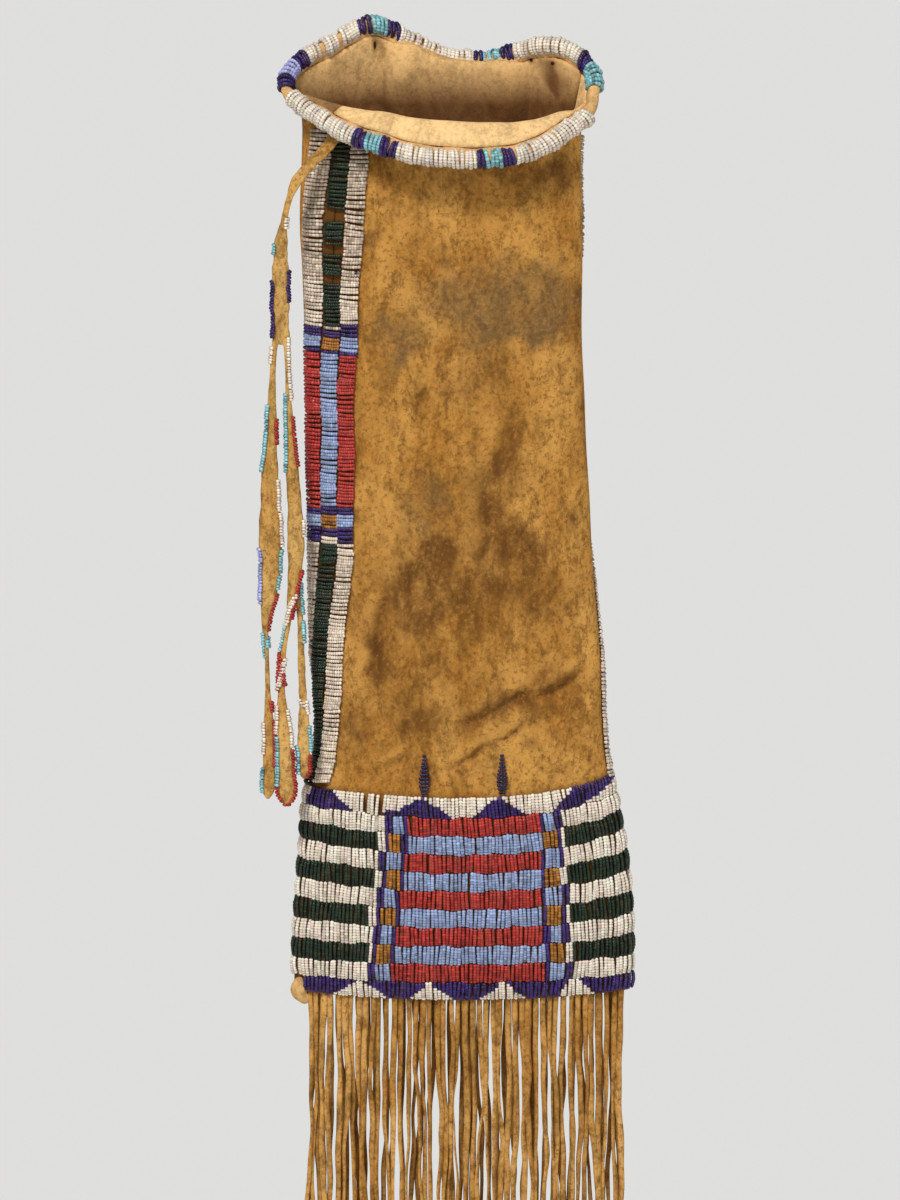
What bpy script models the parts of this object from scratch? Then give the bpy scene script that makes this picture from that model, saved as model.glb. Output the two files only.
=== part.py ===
"""A beaded hide bag that hangs by its mouth.

The front faces -Y, +X is to the viewer's right and +Z is up. X = 0 and Z = 0 lie at the middle of the
mouth, level with its two corners. Sizes are in millimetres and become metres where a mesh is made.

One surface carries everything. skin(u, h) is the outside of the hide: u runs once round the bag, from the
left edge over the front (0 to 0.5) and back over the rear (0.5 to 1), and h is the height. Up to the neck
h is simply Z. Above the neck it counts along a curve that ends at the rim. Beadwork is laid on the skin by
cover(u, h, out), which stands out millimetres off it.
"""
import bmesh
import bpy
import numpy as np

MM = 0.001

# Hide
HIDE_THICKNESS = 2.0
SEAM_GAP = 0.7
REST_GAP = 0.5
NECK_H = -70.0
RIM_H = 0.0
FULL_GIRTH = 340.0
OVAL_POWER = 2.5
# Height, left edge and right edge of the flattened tube
EDGES = ((-470, -78.0, 90.0), (-447, -78.0, 90.5), (-409, -76.0, 89.5), (-383, -74.0, 87.0), (-350, -71.0, 81.0),
         (-337, -67.5, 78.5), (-281, -68.5, 75.0), (-230, -69.5, 71.0), (-153, -72.0, 67.5), (-102, -73.5, 65.0),
         (NECK_H, -74.5, 66.0))
# Height and half depth, alike at the front and the rear
DEPTHS = ((-470, 4.6), (-460, 5.5), (-440, 8.5), (-400, 10.5), (-337, 12.0), (-230, 15.0), (-153, 18.0),
          (NECK_H, 21.0))

# Rim: centre line of the beaded roll, left corner to right corner
RIM_RADIUS = 4.8
RIM_SEAT = 1.1
FRONT_RIM = (
    (-81.5, -1, 4.5), (-79.5, -5, 2.0), (-75, -10, -0.5), (-65, -18, -6.0), (-55, -24, -11.0), (-45, -29, -14.6),
    (-36.5, -32, -16.4), (-25, -35, -19.8), (-12.5, -37, -22.0), (0, -38, -22.9), (14, -37.5, -23.4),
    (23.5, -36.5, -22.9), (35, -33.5, -21.8), (47.5, -28, -17.8), (60, -20, -11), (68, -12.5, -6.2), (71.5, -6, -0.5),
    (71.5, -2, 2.6))
BACK_RIM = (
    (-81.5, -1, 4.5), (-81, 4, 10.0), (-77.5, 8, 14.9), (-70, 12, 20.0), (-60, 16, 24.2), (-51, 19, 29.2), (-39, 20, 34),
    (-30, 22, 31.0), (-23, 23.5, 26.8), (-12, 25, 20.5), (0, 25.5, 16.2), (13, 25.5, 14.7), (21.5, 25, 15.4),
    (32.7, 23, 19.0), (46, 18.5, 23.2), (55, 15, 23.4), (62.5, 12, 20.4), (68, 9, 16.2), (71, 5.5, 11.5), (72, 2, 7),
    (71.5, -2, 2.6))
# How fast the front lip turns over away from the corners, how far the hide comes in towards the roll at them, and
# where and how much the rear's edge folds back between its two peaks
LIP_SHARPNESS = 0.8
CORNER_LEAN = 0.5
FOLD_BACK = (0.63, 0.83)
FOLD_RAMP = 0.05
FOLD_TURN = -0.5
LIP_REACH = 36.0
DROP_REACH = 26.0
NECK_REACH = 42.0

# Beadwork
LANE_EDGE_HEIGHT = 1.0
LANE_CREST_HEIGHT = 2.3
STRIP_LANES = 3
STRIP_TOP_H = -40.0
# Height, and the seam's place round the bag there. Each seam lies under the middle of its strip.
LEFT_SEAM = ((-470, 0.0), (-375, 0.0), (-356, 0.0), (-341, 0.001), (-305, 0.012), (-227, 0.046), (-153, 0.060),
             (-70, 0.078), (-30, 0.081))
RIGHT_SEAM = ((-470, 0.53), (-341, 0.53), (-230, 0.543), (-30, 0.548))
# Columns that all pieces share, so that their faces lie parallel: distances from a seam, then those in between
SEAM_COLUMNS = (0.0, 0.014, 0.028, 0.042)
OPEN_COLUMNS = (0.085, 0.135, 0.19, 0.25, 0.31, 0.36, 0.41, 0.45, 0.61, 0.66, 0.71, 0.76, 0.81, 0.865, 0.915)
SEAM_REACH = 0.19
COLUMN_SPACE = 0.003
HIDE_ROWS = (-337.0, -320.0, -303.0, -288.0, -262.0, -230.0, -195.0, -153.0, -110.0, NECK_H, -53.0, STRIP_TOP_H,
             -27.0, -16.0, -8.0, RIM_H)

# Panel: the middle of the front at its top, and what each lane takes of its height
PANEL_TOP = -354.0
TOP_LANE = 10.7
BAR_LANE = 9.43
BAR_LANES = 9
BOTTOM_LANE = 9.2
HIDE_PAST_PANEL = 3.2
HIDE_END_LANE = BAR_LANES + 2 + HIDE_PAST_PANEL / BOTTOM_LANE
FOOT_H = -460.0
# Lane number, rise of its line at the left edge and at the right edge
SAG = ((0, 4.8, 11.0), (2.5, 7.4, 12.0), (6, 5.5, 8.0), (9.5, 3.0, 4.0), (11, 4.5, 5.0), (12, 4.5, 5.0))
# X of the two columns of squares at the panel's first and last bar lane
LEFT_COLUMN = ((-32.5, -20.0), (-42.0, -29.0))
RIGHT_COLUMN = ((45.5, 56.5), (47.8, 61.5))
COLUMN_FIELDS = (0.0, 0.16, 0.3, 0.82, 1.0)
PANEL_GAP = 0.5
COLUMNS = (("column_front_left", LEFT_COLUMN, False), ("column_front_right", RIGHT_COLUMN, False),
           ("column_back_left", LEFT_COLUMN, True), ("column_back_right", RIGHT_COLUMN, True))

# Feathers: X of the middle, and half width up the height
FEATHERS = {"feather_left": -12.8, "feather_right": 26.0}
FEATHER_SHAPE = ((0.0, 1.2), (0.12, 2.0), (0.35, 2.7), (0.6, 1.9), (0.85, 1.0), (1.0, 0.6))
FEATHER_HEIGHT = 21.0
FEATHER_CREST = 1.9

# Fringe
FRINGE_LEFT, FRINGE_RIGHT = -73.0, 88.0
FRINGE_STRIPS = 42
FRINGE_CUT = 0.22
HEADER_HEIGHT = 5.0
HEADER_HALF_DEPTH = 3.2
STRIP_HALF_DEPTH = 0.8
FRINGE_LENGTH = 296.0
FRINGE_STEPS = 3
# Strips stand a little forward and back in turn, and drift to the side and to the front on the way down
FRINGE_STAGGER = 1.1
FRINGE_SWAY, FRINGE_BOW, FRINGE_UNEVEN = 1.2, 1.4, 2.5

# Rim stretches: name, ends round the bag, and the share of the stretch at which each bead colour ends
PLAIN_FIELD = (("bead_white", 1.0),)
ACCENT_FIELDS = (("bead_purple", 0.25), ("bead_turquoise", 0.75), ("bead_purple", 1.0))
RIM_STRETCHES = (
    ("rim_front_left", 0.006, 0.112, PLAIN_FIELD), ("rim_front_accent_left", 0.112, 0.182, ACCENT_FIELDS),
    ("rim_front_middle", 0.182, 0.318, PLAIN_FIELD), ("rim_front_accent_right", 0.318, 0.382, ACCENT_FIELDS),
    ("rim_front_right", 0.382, 0.490, PLAIN_FIELD),
    ("rim_right_corner", 0.512, 0.560, (("bead_turquoise", 0.6), ("bead_purple", 1.0))),
    ("rim_back_right", 0.560, 0.655, PLAIN_FIELD), ("rim_back_accent_right", 0.655, 0.712, ACCENT_FIELDS),
    ("rim_back_middle", 0.712, 0.798, PLAIN_FIELD), ("rim_back_accent_left", 0.798, 0.868, ACCENT_FIELDS),
    ("rim_back_left", 0.868, 0.948, PLAIN_FIELD),
    ("rim_left_corner", 0.948, 0.998, (("bead_purple", 0.25), ("bead_blue", 0.7), ("bead_purple", 1.0))),
)

# Place round the bag where the two pattern lanes begin and end, on the rear
LANE_SEAM_U = 0.76
APEX_HALF = 0.0015
# Triangles of the pattern lanes, middle and half width round the bag, and plain blocks, start and end
TOP_TRIANGLES = ((0.205, 0.050), (0.325, 0.046), (0.398, 0.036), (0.61, 0.035), (0.69, 0.035), (0.84, 0.04))
TOP_BLOCKS = ((0.014, 0.042),)
BOTTOM_TRIANGLES = ((0.1, 0.040), (0.203, 0.030), (0.322, 0.024), (0.418, 0.022), (0.65, 0.03), (0.85, 0.03))
BOTTOM_BLOCKS = ((0.53, 0.558),)

# Side strips: upper height of each band and the colours of its three lanes
STRIP_BANDS = (
    (-222.9, ("bead_white", "bead_green", "bead_white")), (-216.0, ("bead_purple", "bead_purple", "bead_purple")),
    (-208.6, ("bead_blue", "bead_amber", "bead_blue")), (-205.5, ("bead_purple", "bead_purple", "bead_purple")),
    (-127.8, ("bead_red", "bead_blue", "bead_red")), (-125.3, ("bead_purple", "bead_purple", "bead_purple")),
    (-117.0, ("bead_blue", "bead_amber", "bead_blue")), (-111.5, ("bead_purple", "bead_purple", "bead_purple")),
    (0.0, ("bead_white", "bead_green", "bead_white")),
)

# Root of the thongs, under the lip: place round the bag, height, stand-off of the strap's middle, half width
THONG_ROOT = ((0.078, -26.0, 1.3, 4.2), (0.076, -31.0, 3.6, 4.2), (0.068, -37.0, 6.0, 4.0))
# Thongs: places down the middle of each strap with its half width, and the way it faces in degrees
THONG_THICKNESS = 1.8
THONGS = {
    "thong_stem": ((-74, -26, -46, 2.5, 30), (-80, -25.5, -54, 1.6, 40), (-83, -24, -65, 3.4, 15),
                   (-84.5, -22, -80, 4.3, 5), (-84.5, -21, -100, 4.4, 0), (-84, -20, -121, 4.0, 0)),
    "thong_left": ((-86.3, -20, -121.4, 1.5, 0), (-89, -19, -140, 2.1, 0), (-89.5, -19, -165, 3.4, 0),
                   (-90, -19, -190, 4.3, 5), (-89.5, -19, -214, 5.0, 0), (-90, -19, -240, 4.0, 0),
                   (-91.5, -19, -265, 2.4, 10), (-91.5, -19, -285, 1.5, 20), (-91, -19, -310, 2.4, 0),
                   (-91, -19, -335, 3.2, 0), (-91, -19, -352, 3.0, 0)),
    "thong_right": ((-82.2, -20, -121.4, 1.5, 0), (-81.2, -19, -140, 2.3, 0), (-80, -19, -165, 3.0, 0),
                    (-78.6, -19.5, -190, 3.6, 0), (-77.5, -20, -214, 4.0, 0), (-78, -20, -240, 3.2, 0),
                    (-81, -20, -262, 2.0, 10), (-84.5, -20, -285, 1.8, 20), (-83.6, -20, -308, 2.6, 0),
                    (-82.3, -20, -332, 3.5, 0), (-81, -20, -355, 4.2, 0)),
    "thong_short": ((-76.6, -17.4, -240, 2.2, 0), (-74.8, -17.4, -262, 2.0, 0), (-73.6, -17.4, -285, 2.4, 0),
                    (-73.0, -17.6, -310, 3.2, 0), (-72.6, -17.8, -330, 3.4, 0), (-72.6, -17.8, -342, 2.6, 0)),
}

# Colours and roughness as the photograph shows them
PALETTE = {
    "hide": ((0.47, 0.24, 0.06), 0.85), "hide_pale": ((0.72, 0.45, 0.20), 0.85),
    "bead_white": ((0.72, 0.60, 0.50), 0.35), "bead_purple": ((0.035, 0.02, 0.08), 0.25),
    "bead_turquoise": ((0.18, 0.42, 0.46), 0.3), "bead_blue": ((0.20, 0.28, 0.50), 0.3),
    "bead_red": ((0.30, 0.02, 0.02), 0.3), "bead_green": ((0.02, 0.045, 0.03), 0.25),
    "bead_amber": ((0.28, 0.11, 0.02), 0.3), "thong": ((0.48, 0.23, 0.07), 0.8),
}


def smooth_curve(x, knots):
    """Hermite curve through (x, value, ...) rows, with the knots' own mean slopes."""
    table = np.array(knots, float)
    table = table[np.argsort(table[:, 0])]
    at, values = table[:, 0], table[:, 1:]
    slopes = np.gradient(values, at, axis=0)
    x = np.clip(np.asarray(x, float), at[0], at[-1])
    i = np.clip(np.searchsorted(at, x, side="right") - 1, 0, len(at) - 2)
    step = at[i + 1] - at[i]
    t = ((x - at[i]) / step)[..., None]
    step = step[..., None]
    return ((2 * t**3 - 3 * t**2 + 1) * values[i] + (t**3 - 2 * t**2 + t) * step * slopes[i]
            + (3 * t**2 - 2 * t**3) * values[i + 1] + (t**3 - t**2) * step * slopes[i + 1])


def oval_tables(samples=160, ratios=np.linspace(0.03, 0.4, 20)):
    """Half a superellipse from left to right by share of its length, for several depth to width ratios."""
    angle = np.linspace(0, np.pi, 3001)
    across = -np.sign(np.cos(angle)) * np.abs(np.cos(angle)) ** (2 / OVAL_POWER)
    share = np.linspace(0, 1, samples + 1)
    xs, ys = [], []
    for ratio in ratios:
        deep = ratio * np.sin(angle) ** (2 / OVAL_POWER)
        length = np.concatenate(([0], np.cumsum(np.hypot(np.diff(across), np.diff(deep)))))
        xs.append(np.interp(share * length[-1], length, across))
        ys.append(np.interp(share * length[-1], length, deep))
    return ratios, share, np.array(xs), np.array(ys)


RATIOS, SHARES, OVAL_X, OVAL_Y = oval_tables()


def half_oval(share, ratio):
    """Across and depth of the half oval at a share of its length, between the tables' entries."""
    i = np.clip((share * (len(SHARES) - 1)).astype(int), 0, len(SHARES) - 2)
    s = share * (len(SHARES) - 1) - i
    r = np.clip((ratio - RATIOS[0]) / (RATIOS[1] - RATIOS[0]), 0, len(RATIOS) - 1.001)
    j = r.astype(int)
    r = r - j
    return [(1 - r) * ((1 - s) * t[j, i] + s * t[j, i + 1]) + r * ((1 - s) * t[j + 1, i] + s * t[j + 1, i + 1])
            for t in (OVAL_X, OVAL_Y)]


def tube(u, z):
    """Point of the flattened tube below the neck."""
    left, right = np.moveaxis(smooth_curve(z, EDGES), -1, 0)
    half = (right - left) / 2
    depth = smooth_curve(z, DEPTHS)[..., 0]
    front = u < 0.5
    across, deep = half_oval(np.where(front, 2 * u, 2 * u - 1), depth / half)
    side = np.where(front, 1.0, -1.0)
    return np.stack((left + half + side * half * across, -side * half * deep, z), axis=-1)


def along(points, share):
    """Point at a share of a polyline's length, through a smooth curve."""
    points = np.array(points, float)
    length = np.concatenate(([0], np.cumsum(np.linalg.norm(np.diff(points, axis=0), axis=1))))
    return smooth_curve(share * length[-1], np.column_stack((length, points)))


def rim(u):
    """Centre of the beaded roll round the mouth."""
    u = np.asarray(u, float) % 1.0
    front = (u < 0.5)[..., None]
    return np.where(front, along(FRONT_RIM, np.clip(2 * u, 0, 1)), along(BACK_RIM, np.clip(2 - 2 * u, 0, 1)))


def skin(u, h):
    """Outside of the hide at u round the bag and height h."""
    u, h = np.broadcast_arrays(np.asarray(u, float) % 1.0, np.asarray(h, float))
    low = tube(u, np.minimum(h, NECK_H))
    t = (np.clip((h - NECK_H) / (RIM_H - NECK_H), 0, 1))[..., None]
    round_bag = 2 * np.pi * u
    ramp = np.clip(np.minimum(u - FOLD_BACK[0], FOLD_BACK[1] - u) / FOLD_RAMP, 0, 1)
    lip = np.clip(np.sin(round_bag), 0, 1) ** LIP_SHARPNESS
    turned = np.where(u < 0.5, lip, FOLD_TURN * ramp**2 * (3 - 2 * ramp))
    tilt = np.radians(-90 + 153 * turned)
    corner = np.clip(1 - np.where(u < 0.5, 2, 5) * np.abs(np.sin(round_bag)), 0, 1)
    lean = CORNER_LEAN * np.sign(np.cos(round_bag)) * corner**2 * (3 - 2 * corner)
    way = np.stack((lean, np.cos(tilt), np.sin(tilt)), axis=-1)
    ahead = rim(u + 0.004) - rim(u - 0.004)
    ahead /= np.linalg.norm(ahead, axis=-1, keepdims=True)
    way -= (way * ahead).sum(axis=-1, keepdims=True) * ahead
    way /= np.linalg.norm(way, axis=-1, keepdims=True)
    end = rim(u) + (RIM_RADIUS + RIM_SEAT) * way
    start = tube(u, np.full_like(u, NECK_H))
    pull_up = start + (0, 0, NECK_REACH)
    reach = DROP_REACH + (LIP_REACH - DROP_REACH) * np.clip(turned, 0, 1)
    reach = reach * (0.25 + 0.75 * np.sin(tilt) ** 2)
    pull_end = end + reach[..., None] * way
    high = (1 - t)**3 * start + 3 * (1 - t)**2 * t * pull_up + 3 * (1 - t) * t**2 * pull_end + t**3 * end
    return np.where((h > NECK_H)[..., None], high, low)


def skin_normal(u, h):
    """Unit vector out of the hide."""
    du, dh = 0.002, 0.4
    top = np.minimum(np.asarray(h, float) + dh, RIM_H)
    across = skin(np.asarray(u) + du, h) - skin(np.asarray(u) - du, h)
    up = skin(u, top) - skin(u, top - 2 * dh)
    normal = np.cross(across, up)
    return normal / np.linalg.norm(normal, axis=-1, keepdims=True)


def cover(u, h, out):
    """Point that stands out millimetres off the hide."""
    return skin(u, h) + np.asarray(out, float)[..., None] * skin_normal(u, h)


def u_at_x(x, h, rear=False):
    """Place round the bag where the front, or the rear, reaches x at height h."""
    left, right = smooth_curve(np.array(h, float), EDGES)
    half = (right - left) / 2
    ratio = float(smooth_curve(np.array(h, float), DEPTHS)[0] / half)
    across, _ = half_oval(SHARES, np.full_like(SHARES, ratio))
    share = np.interp((x - left - half) / half, across, SHARES)
    return 1 - share / 2 if rear else share / 2


def lane_line(lane, u):
    """Height of the line that ends a lane: 0 is the panel's top and 11 its bottom."""
    u = np.asarray(u, float) % 1.0
    steps = np.concatenate(([0, TOP_LANE], np.full(BAR_LANES, BAR_LANE), [BOTTOM_LANE, BOTTOM_LANE]))
    middle = PANEL_TOP - np.interp(lane, np.arange(len(steps)), np.cumsum(steps))
    left, right = smooth_curve(np.array(lane, float), SAG)
    across = np.where(u < 0.5, 4 * u - 1, 3 - 4 * u)
    lift = left * (1 - across) / 2 + right * (1 + across) / 2
    return middle + lift * across**2


def seam(h):
    """Places round the bag of the left and right seam at height h."""
    return smooth_curve(h, LEFT_SEAM)[..., 0], smooth_curve(h, RIGHT_SEAM)[..., 0]


def shifted(column, h):
    """Place at height h of a shared column, which follows the seam beside it."""
    left, right = seam(h)
    u = np.asarray(column, float)
    moved = u.copy()
    for home, now in ((0.0, left), (RIGHT_SEAM[0][1], right)):
        away = np.abs((u - home + 0.5) % 1.0 - 0.5)
        follow = np.clip((SEAM_REACH - away) / (SEAM_REACH - SEAM_COLUMNS[-1]), 0, 1)
        moved = moved + (now - home) * follow
    return moved


def columns_between(start, end):
    """Shared columns from start to end, with both ends."""
    near = {home + side * d for home in (0.0, RIGHT_SEAM[0][1]) for side in (-1, 1) for d in SEAM_COLUMNS}
    shared = sorted({round(turn + u, 4) for turn in (-1, 0, 1) for u in near | set(OPEN_COLUMNS)})
    inside = [u for u in shared if start + COLUMN_SPACE < u < end - COLUMN_SPACE]
    return np.array([start, *inside, end])


def material(name):
    """Principled material from the palette, made once."""
    if name in bpy.data.materials:
        return bpy.data.materials[name]
    made = bpy.data.materials.new(name)
    made.use_nodes = True
    colour, roughness = PALETTE[name]
    shader = made.node_tree.nodes["Principled BSDF"]
    shader.inputs["Base Color"].default_value = (*colour, 1)
    shader.inputs["Roughness"].default_value = roughness
    shader.inputs["Metallic"].default_value = 0.0
    made.diffuse_color = (*colour, 1)
    return made


def add_object(name, points, faces, materials, face_materials=None):
    """Object of one closed mesh from points in millimetres."""
    mesh = bpy.data.meshes.new(name)
    mesh.from_pydata([tuple(p) for p in np.asarray(points) * MM], [], faces)
    for entry in materials:
        mesh.materials.append(material(entry))
    if face_materials is not None:
        mesh.polygons.foreach_set("material_index", face_materials)
    work = bmesh.new()
    work.from_mesh(mesh)
    bmesh.ops.recalc_face_normals(work, faces=work.faces)
    work.to_mesh(mesh)
    work.free()
    made = bpy.data.objects.new(name, mesh)
    bpy.context.scene.collection.objects.link(made)
    return made


def loft(name, rings, materials, colour_of=None):
    """Closed body through rings of points. colour_of(ring, side) picks the material of a side's face."""
    rings = np.asarray(rings, float)
    count, sides = rings.shape[:2]
    faces, colours = [], []
    for r in range(count - 1):
        for s in range(sides):
            n = (s + 1) % sides
            faces.append((r * sides + s, r * sides + n, (r + 1) * sides + n, (r + 1) * sides + s))
            colours.append(colour_of(r, s) if colour_of else 0)
    faces.append(tuple(range(sides - 1, -1, -1)))
    faces.append(tuple((count - 1) * sides + s for s in range(sides)))
    colours += [colour_of(0, 0) if colour_of else 0, colour_of(count - 2, 0) if colour_of else 0]
    return add_object(name, rings.reshape(-1, 3), faces, materials, colours)


def sheet(name, outer, inner, materials):
    """Closed body between two grids of points."""
    rows, cols = outer.shape[:2]
    points = np.concatenate((outer.reshape(-1, 3), inner.reshape(-1, 3)))
    index = np.arange(rows * cols).reshape(rows, cols)
    under = index + rows * cols
    faces = []
    for r in range(rows - 1):
        for c in range(cols - 1):
            faces.append((index[r, c], index[r, c + 1], index[r + 1, c + 1], index[r + 1, c]))
            faces.append((under[r, c], under[r + 1, c], under[r + 1, c + 1], under[r, c + 1]))
    edge = [*index[0, :], *index[1:, -1], *index[-1, -2::-1], *index[-2:0:-1, 0]]
    for a, b in zip(edge, edge[1:] + edge[:1]):
        faces.append((b, a, a + rows * cols, b + rows * cols))
    return add_object(name, points, [tuple(int(i) for i in f) for f in faces], materials)


def hide_rows():
    """Rows up a hide: lane lines through the panel, then heights up to the rim."""
    rows = [lambda u, k=k: lane_line(k, u) for k in (HIDE_END_LANE, 10, 8, 6, 4, 2, 0)]
    return rows + [lambda u, h=h: np.full(np.shape(u), float(h)) for h in HIDE_ROWS]


def build_hides():
    """Front and rear hide, which meet at the two seams."""
    half_gap = SEAM_GAP / 2 / FULL_GIRTH
    home = RIGHT_SEAM[0][1]
    for name, start, end in (("front_hide", half_gap, home - half_gap), ("back_hide", home + half_gap, 1 - half_gap)):
        columns = columns_between(start, end)
        outer, inner = [], []
        for row in hide_rows():
            h = row(columns)
            u = shifted(columns, h)
            outer.append(skin(u, h))
            facing = u.copy()
            facing[[0, -1]] += half_gap * np.array([-1, 1])
            inner.append(outer[-1] - HIDE_THICKNESS * skin_normal(facing, h))
        sheet(name, np.array(outer), np.array(inner), ["hide"])


def build_rim():
    """Beaded roll round the mouth, in stretches of one pattern."""
    sides = 8
    for name, start, end, fields in RIM_STRETCHES:
        shared = (columns_between(start, end) - start) / (end - start)
        cuts = sorted({round(f[1], 4) for f in fields[:-1]} | {round(c, 4) for c in shared})
        u = start + (end - start) * np.array(cuts)
        centre = rim(u)
        ahead = rim(u + 0.002) - rim(u - 0.002)
        ahead /= np.linalg.norm(ahead, axis=1, keepdims=True)
        centre[0] += ahead[0] * PANEL_GAP / 2
        centre[-1] -= ahead[-1] * PANEL_GAP / 2
        aside = np.cross(ahead, (0, 0, 1))
        aside /= np.linalg.norm(aside, axis=1, keepdims=True)
        above = np.cross(aside, ahead)
        turn = np.linspace(0, 2 * np.pi, sides, endpoint=False)
        rings = centre[:, None] + RIM_RADIUS * (np.cos(turn)[None, :, None] * aside[:, None]
                                                + np.sin(turn)[None, :, None] * above[:, None])
        names = [f[0] for f in fields]

        def field(ring, side, cuts=cuts, fields=fields):
            middle = (cuts[ring] + cuts[ring + 1]) / 2
            return next(i for i, f in enumerate(fields) if middle < f[1])

        loft(name, rings[:, ::-1], names, field)


def arch(steps):
    """Heights across one bead lane, whose strings rise between their two rows of stitches."""
    t = np.linspace(0, 1, steps + 1)
    return LANE_EDGE_HEIGHT + (LANE_CREST_HEIGHT - LANE_EDGE_HEIGHT) * np.sin(np.pi * t)


def lane_ring(lane, foot_u, head_u, steps=2):
    """Section of a lane, foot_u on its lower line and head_u on its upper one: two feet, then the arched top."""
    share = np.linspace(0, 1, steps + 1)
    u = foot_u + (head_u - foot_u) * share
    low, high = lane_line(lane + 1, u) + PANEL_GAP / 2, lane_line(lane, u) - PANEL_GAP / 2
    h = low + (high - low) * share
    feet = cover(u[[-1, 0]], h[[-1, 0]], np.full(2, REST_GAP))
    return [*feet, *cover(u, h, arch(steps))]


def column_span(k, which, rear=False):
    """Edges of a column of squares at lane line k, in the order that runs round the bag."""
    share = (k - 1) / BAR_LANES
    h = float(lane_line(k, np.array(0.25)))
    low, high = [a + (b - a) * share for a, b in zip(*which)]
    edges = u_at_x(low, h, rear), u_at_x(high, h, rear)
    return edges[::-1] if rear else edges


def build_bars():
    """Colour bars of the nine bar lanes: the front centre, and the sides that run round each edge."""
    gap = PANEL_GAP / FULL_GIRTH
    for lane in range(1, BAR_LANES + 1):
        odd = lane % 2 == 1
        side_colour, centre_colour = ("bead_white", "bead_red") if odd else ("bead_green", "bead_blue")
        ends = {name: [column_span(k, which, rear) for k in (lane + 1, lane)]
                for name, which, rear in COLUMNS}
        stretches = (
            (f"bar_centre_{lane}", ends["column_front_left"], ends["column_front_right"], 0, centre_colour),
            (f"bar_left_{lane}", ends["column_back_left"], ends["column_front_left"], -1, side_colour),
            (f"bar_right_{lane}", ends["column_front_right"], ends["column_back_right"], 0, side_colour),
        )
        for name, before, after, turn, colour in stretches:
            first = [turn + span[1] + gap for span in before]
            last = [span[0] - gap for span in after]
            inner = columns_between(max(first), min(last))[1:-1]
            pairs = [first, *((u, u) for u in inner), last]
            loft(name, np.array([lane_ring(lane, foot, head) for foot, head in pairs]), [colour])


def stacked(name, columns_of, materials, colour_at):
    """Body over the bar lanes, each ridged. columns_of(k) gives its columns at lane line k."""
    steps = 2
    ridge = arch(steps)
    lines = [(lane + i / steps, ridge[i], lane) for lane in range(1, BAR_LANES + 1) for i in range(steps)]
    lines.append((BAR_LANES + 1.0, ridge[0], BAR_LANES))
    rings = []
    for k, out, lane in lines:
        u = np.array(columns_of(k))
        inset = PANEL_GAP / 2 * ((k == lines[0][0]) - 1.0 * (k == lines[-1][0]))
        h = lane_line(k, u) - inset
        feet = cover(u[::-1], h[::-1], np.full(len(u), REST_GAP))
        rings.append([*feet, *cover(u, h, np.full(len(u), out))])
    count = len(rings[0]) // 2

    def field(ring, edge):
        return colour_at(lines[ring][2], min(edge - count, count - 2)) if edge >= count else 0

    return loft(name, np.array(rings), materials, field)


def build_columns():
    """Columns of small squares, light blue and amber in turn, edged purple."""
    names = ["bead_purple", "bead_blue", "bead_amber", "bead_white"]
    for name, which, rear in COLUMNS:
        outer_first = (which is LEFT_COLUMN) != rear
        fields = np.array(COLUMN_FIELDS if outer_first else [1 - f for f in reversed(COLUMN_FIELDS)])

        def columns(k, which=which, rear=rear, fields=fields):
            start, end = column_span(k, which, rear)
            return start + (end - start) * fields

        def colour(lane, place, outer_first=outer_first):
            place = place if outer_first else len(COLUMN_FIELDS) - 2 - place
            odd = lane % 2 == 1
            return (0 if odd else 3, 0, 1 if odd else 2, 0)[place]

        stacked(name, columns, names, colour)


def build_back_field():
    """The rear's own centre field: red and light blue bars, ridged as one piece."""
    gap = PANEL_GAP / FULL_GIRTH
    first, last = column_span(BAR_LANES, RIGHT_COLUMN, True)[1], column_span(BAR_LANES, LEFT_COLUMN, True)[0]
    inner = columns_between(first, last)[1:-1]

    def columns(k):
        return [column_span(k, RIGHT_COLUMN, True)[1] + gap, *inner, column_span(k, LEFT_COLUMN, True)[0] - gap]

    stacked("panel_back_centre", columns, ["bead_red", "bead_blue"], lambda lane, place: 0 if lane % 2 == 1 else 1)


def build_pattern_lane(name, lane, ground, figure, triangles, blocks):
    """A lane right round the bag. A triangle's sides are mesh columns that lean towards its apex at the top."""
    half_gap = PANEL_GAP / 2 / FULL_GIRTH
    start, end = LANE_SEAM_U + half_gap - 1, LANE_SEAM_U - half_gap
    marks = [(u, u, any(a - 0.001 < u < b - 0.001 for a, b in blocks)) for u in columns_between(start, end)]
    for middle, half in triangles:
        space = half + COLUMN_SPACE
        marks = [m for m in marks if abs(m[0] - middle) > space and abs(m[0] + 1 - middle) > space]
        middle -= middle > end
        marks += [(middle - half, middle - APEX_HALF, True), (middle + half, middle + APEX_HALF, False)]
    marks.sort()
    rings = [lane_ring(lane, foot, head) for foot, head, _ in marks]
    loft(name, np.array(rings), [ground, figure], lambda ring, edge: int(marks[ring][2] and edge >= 2))


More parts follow.
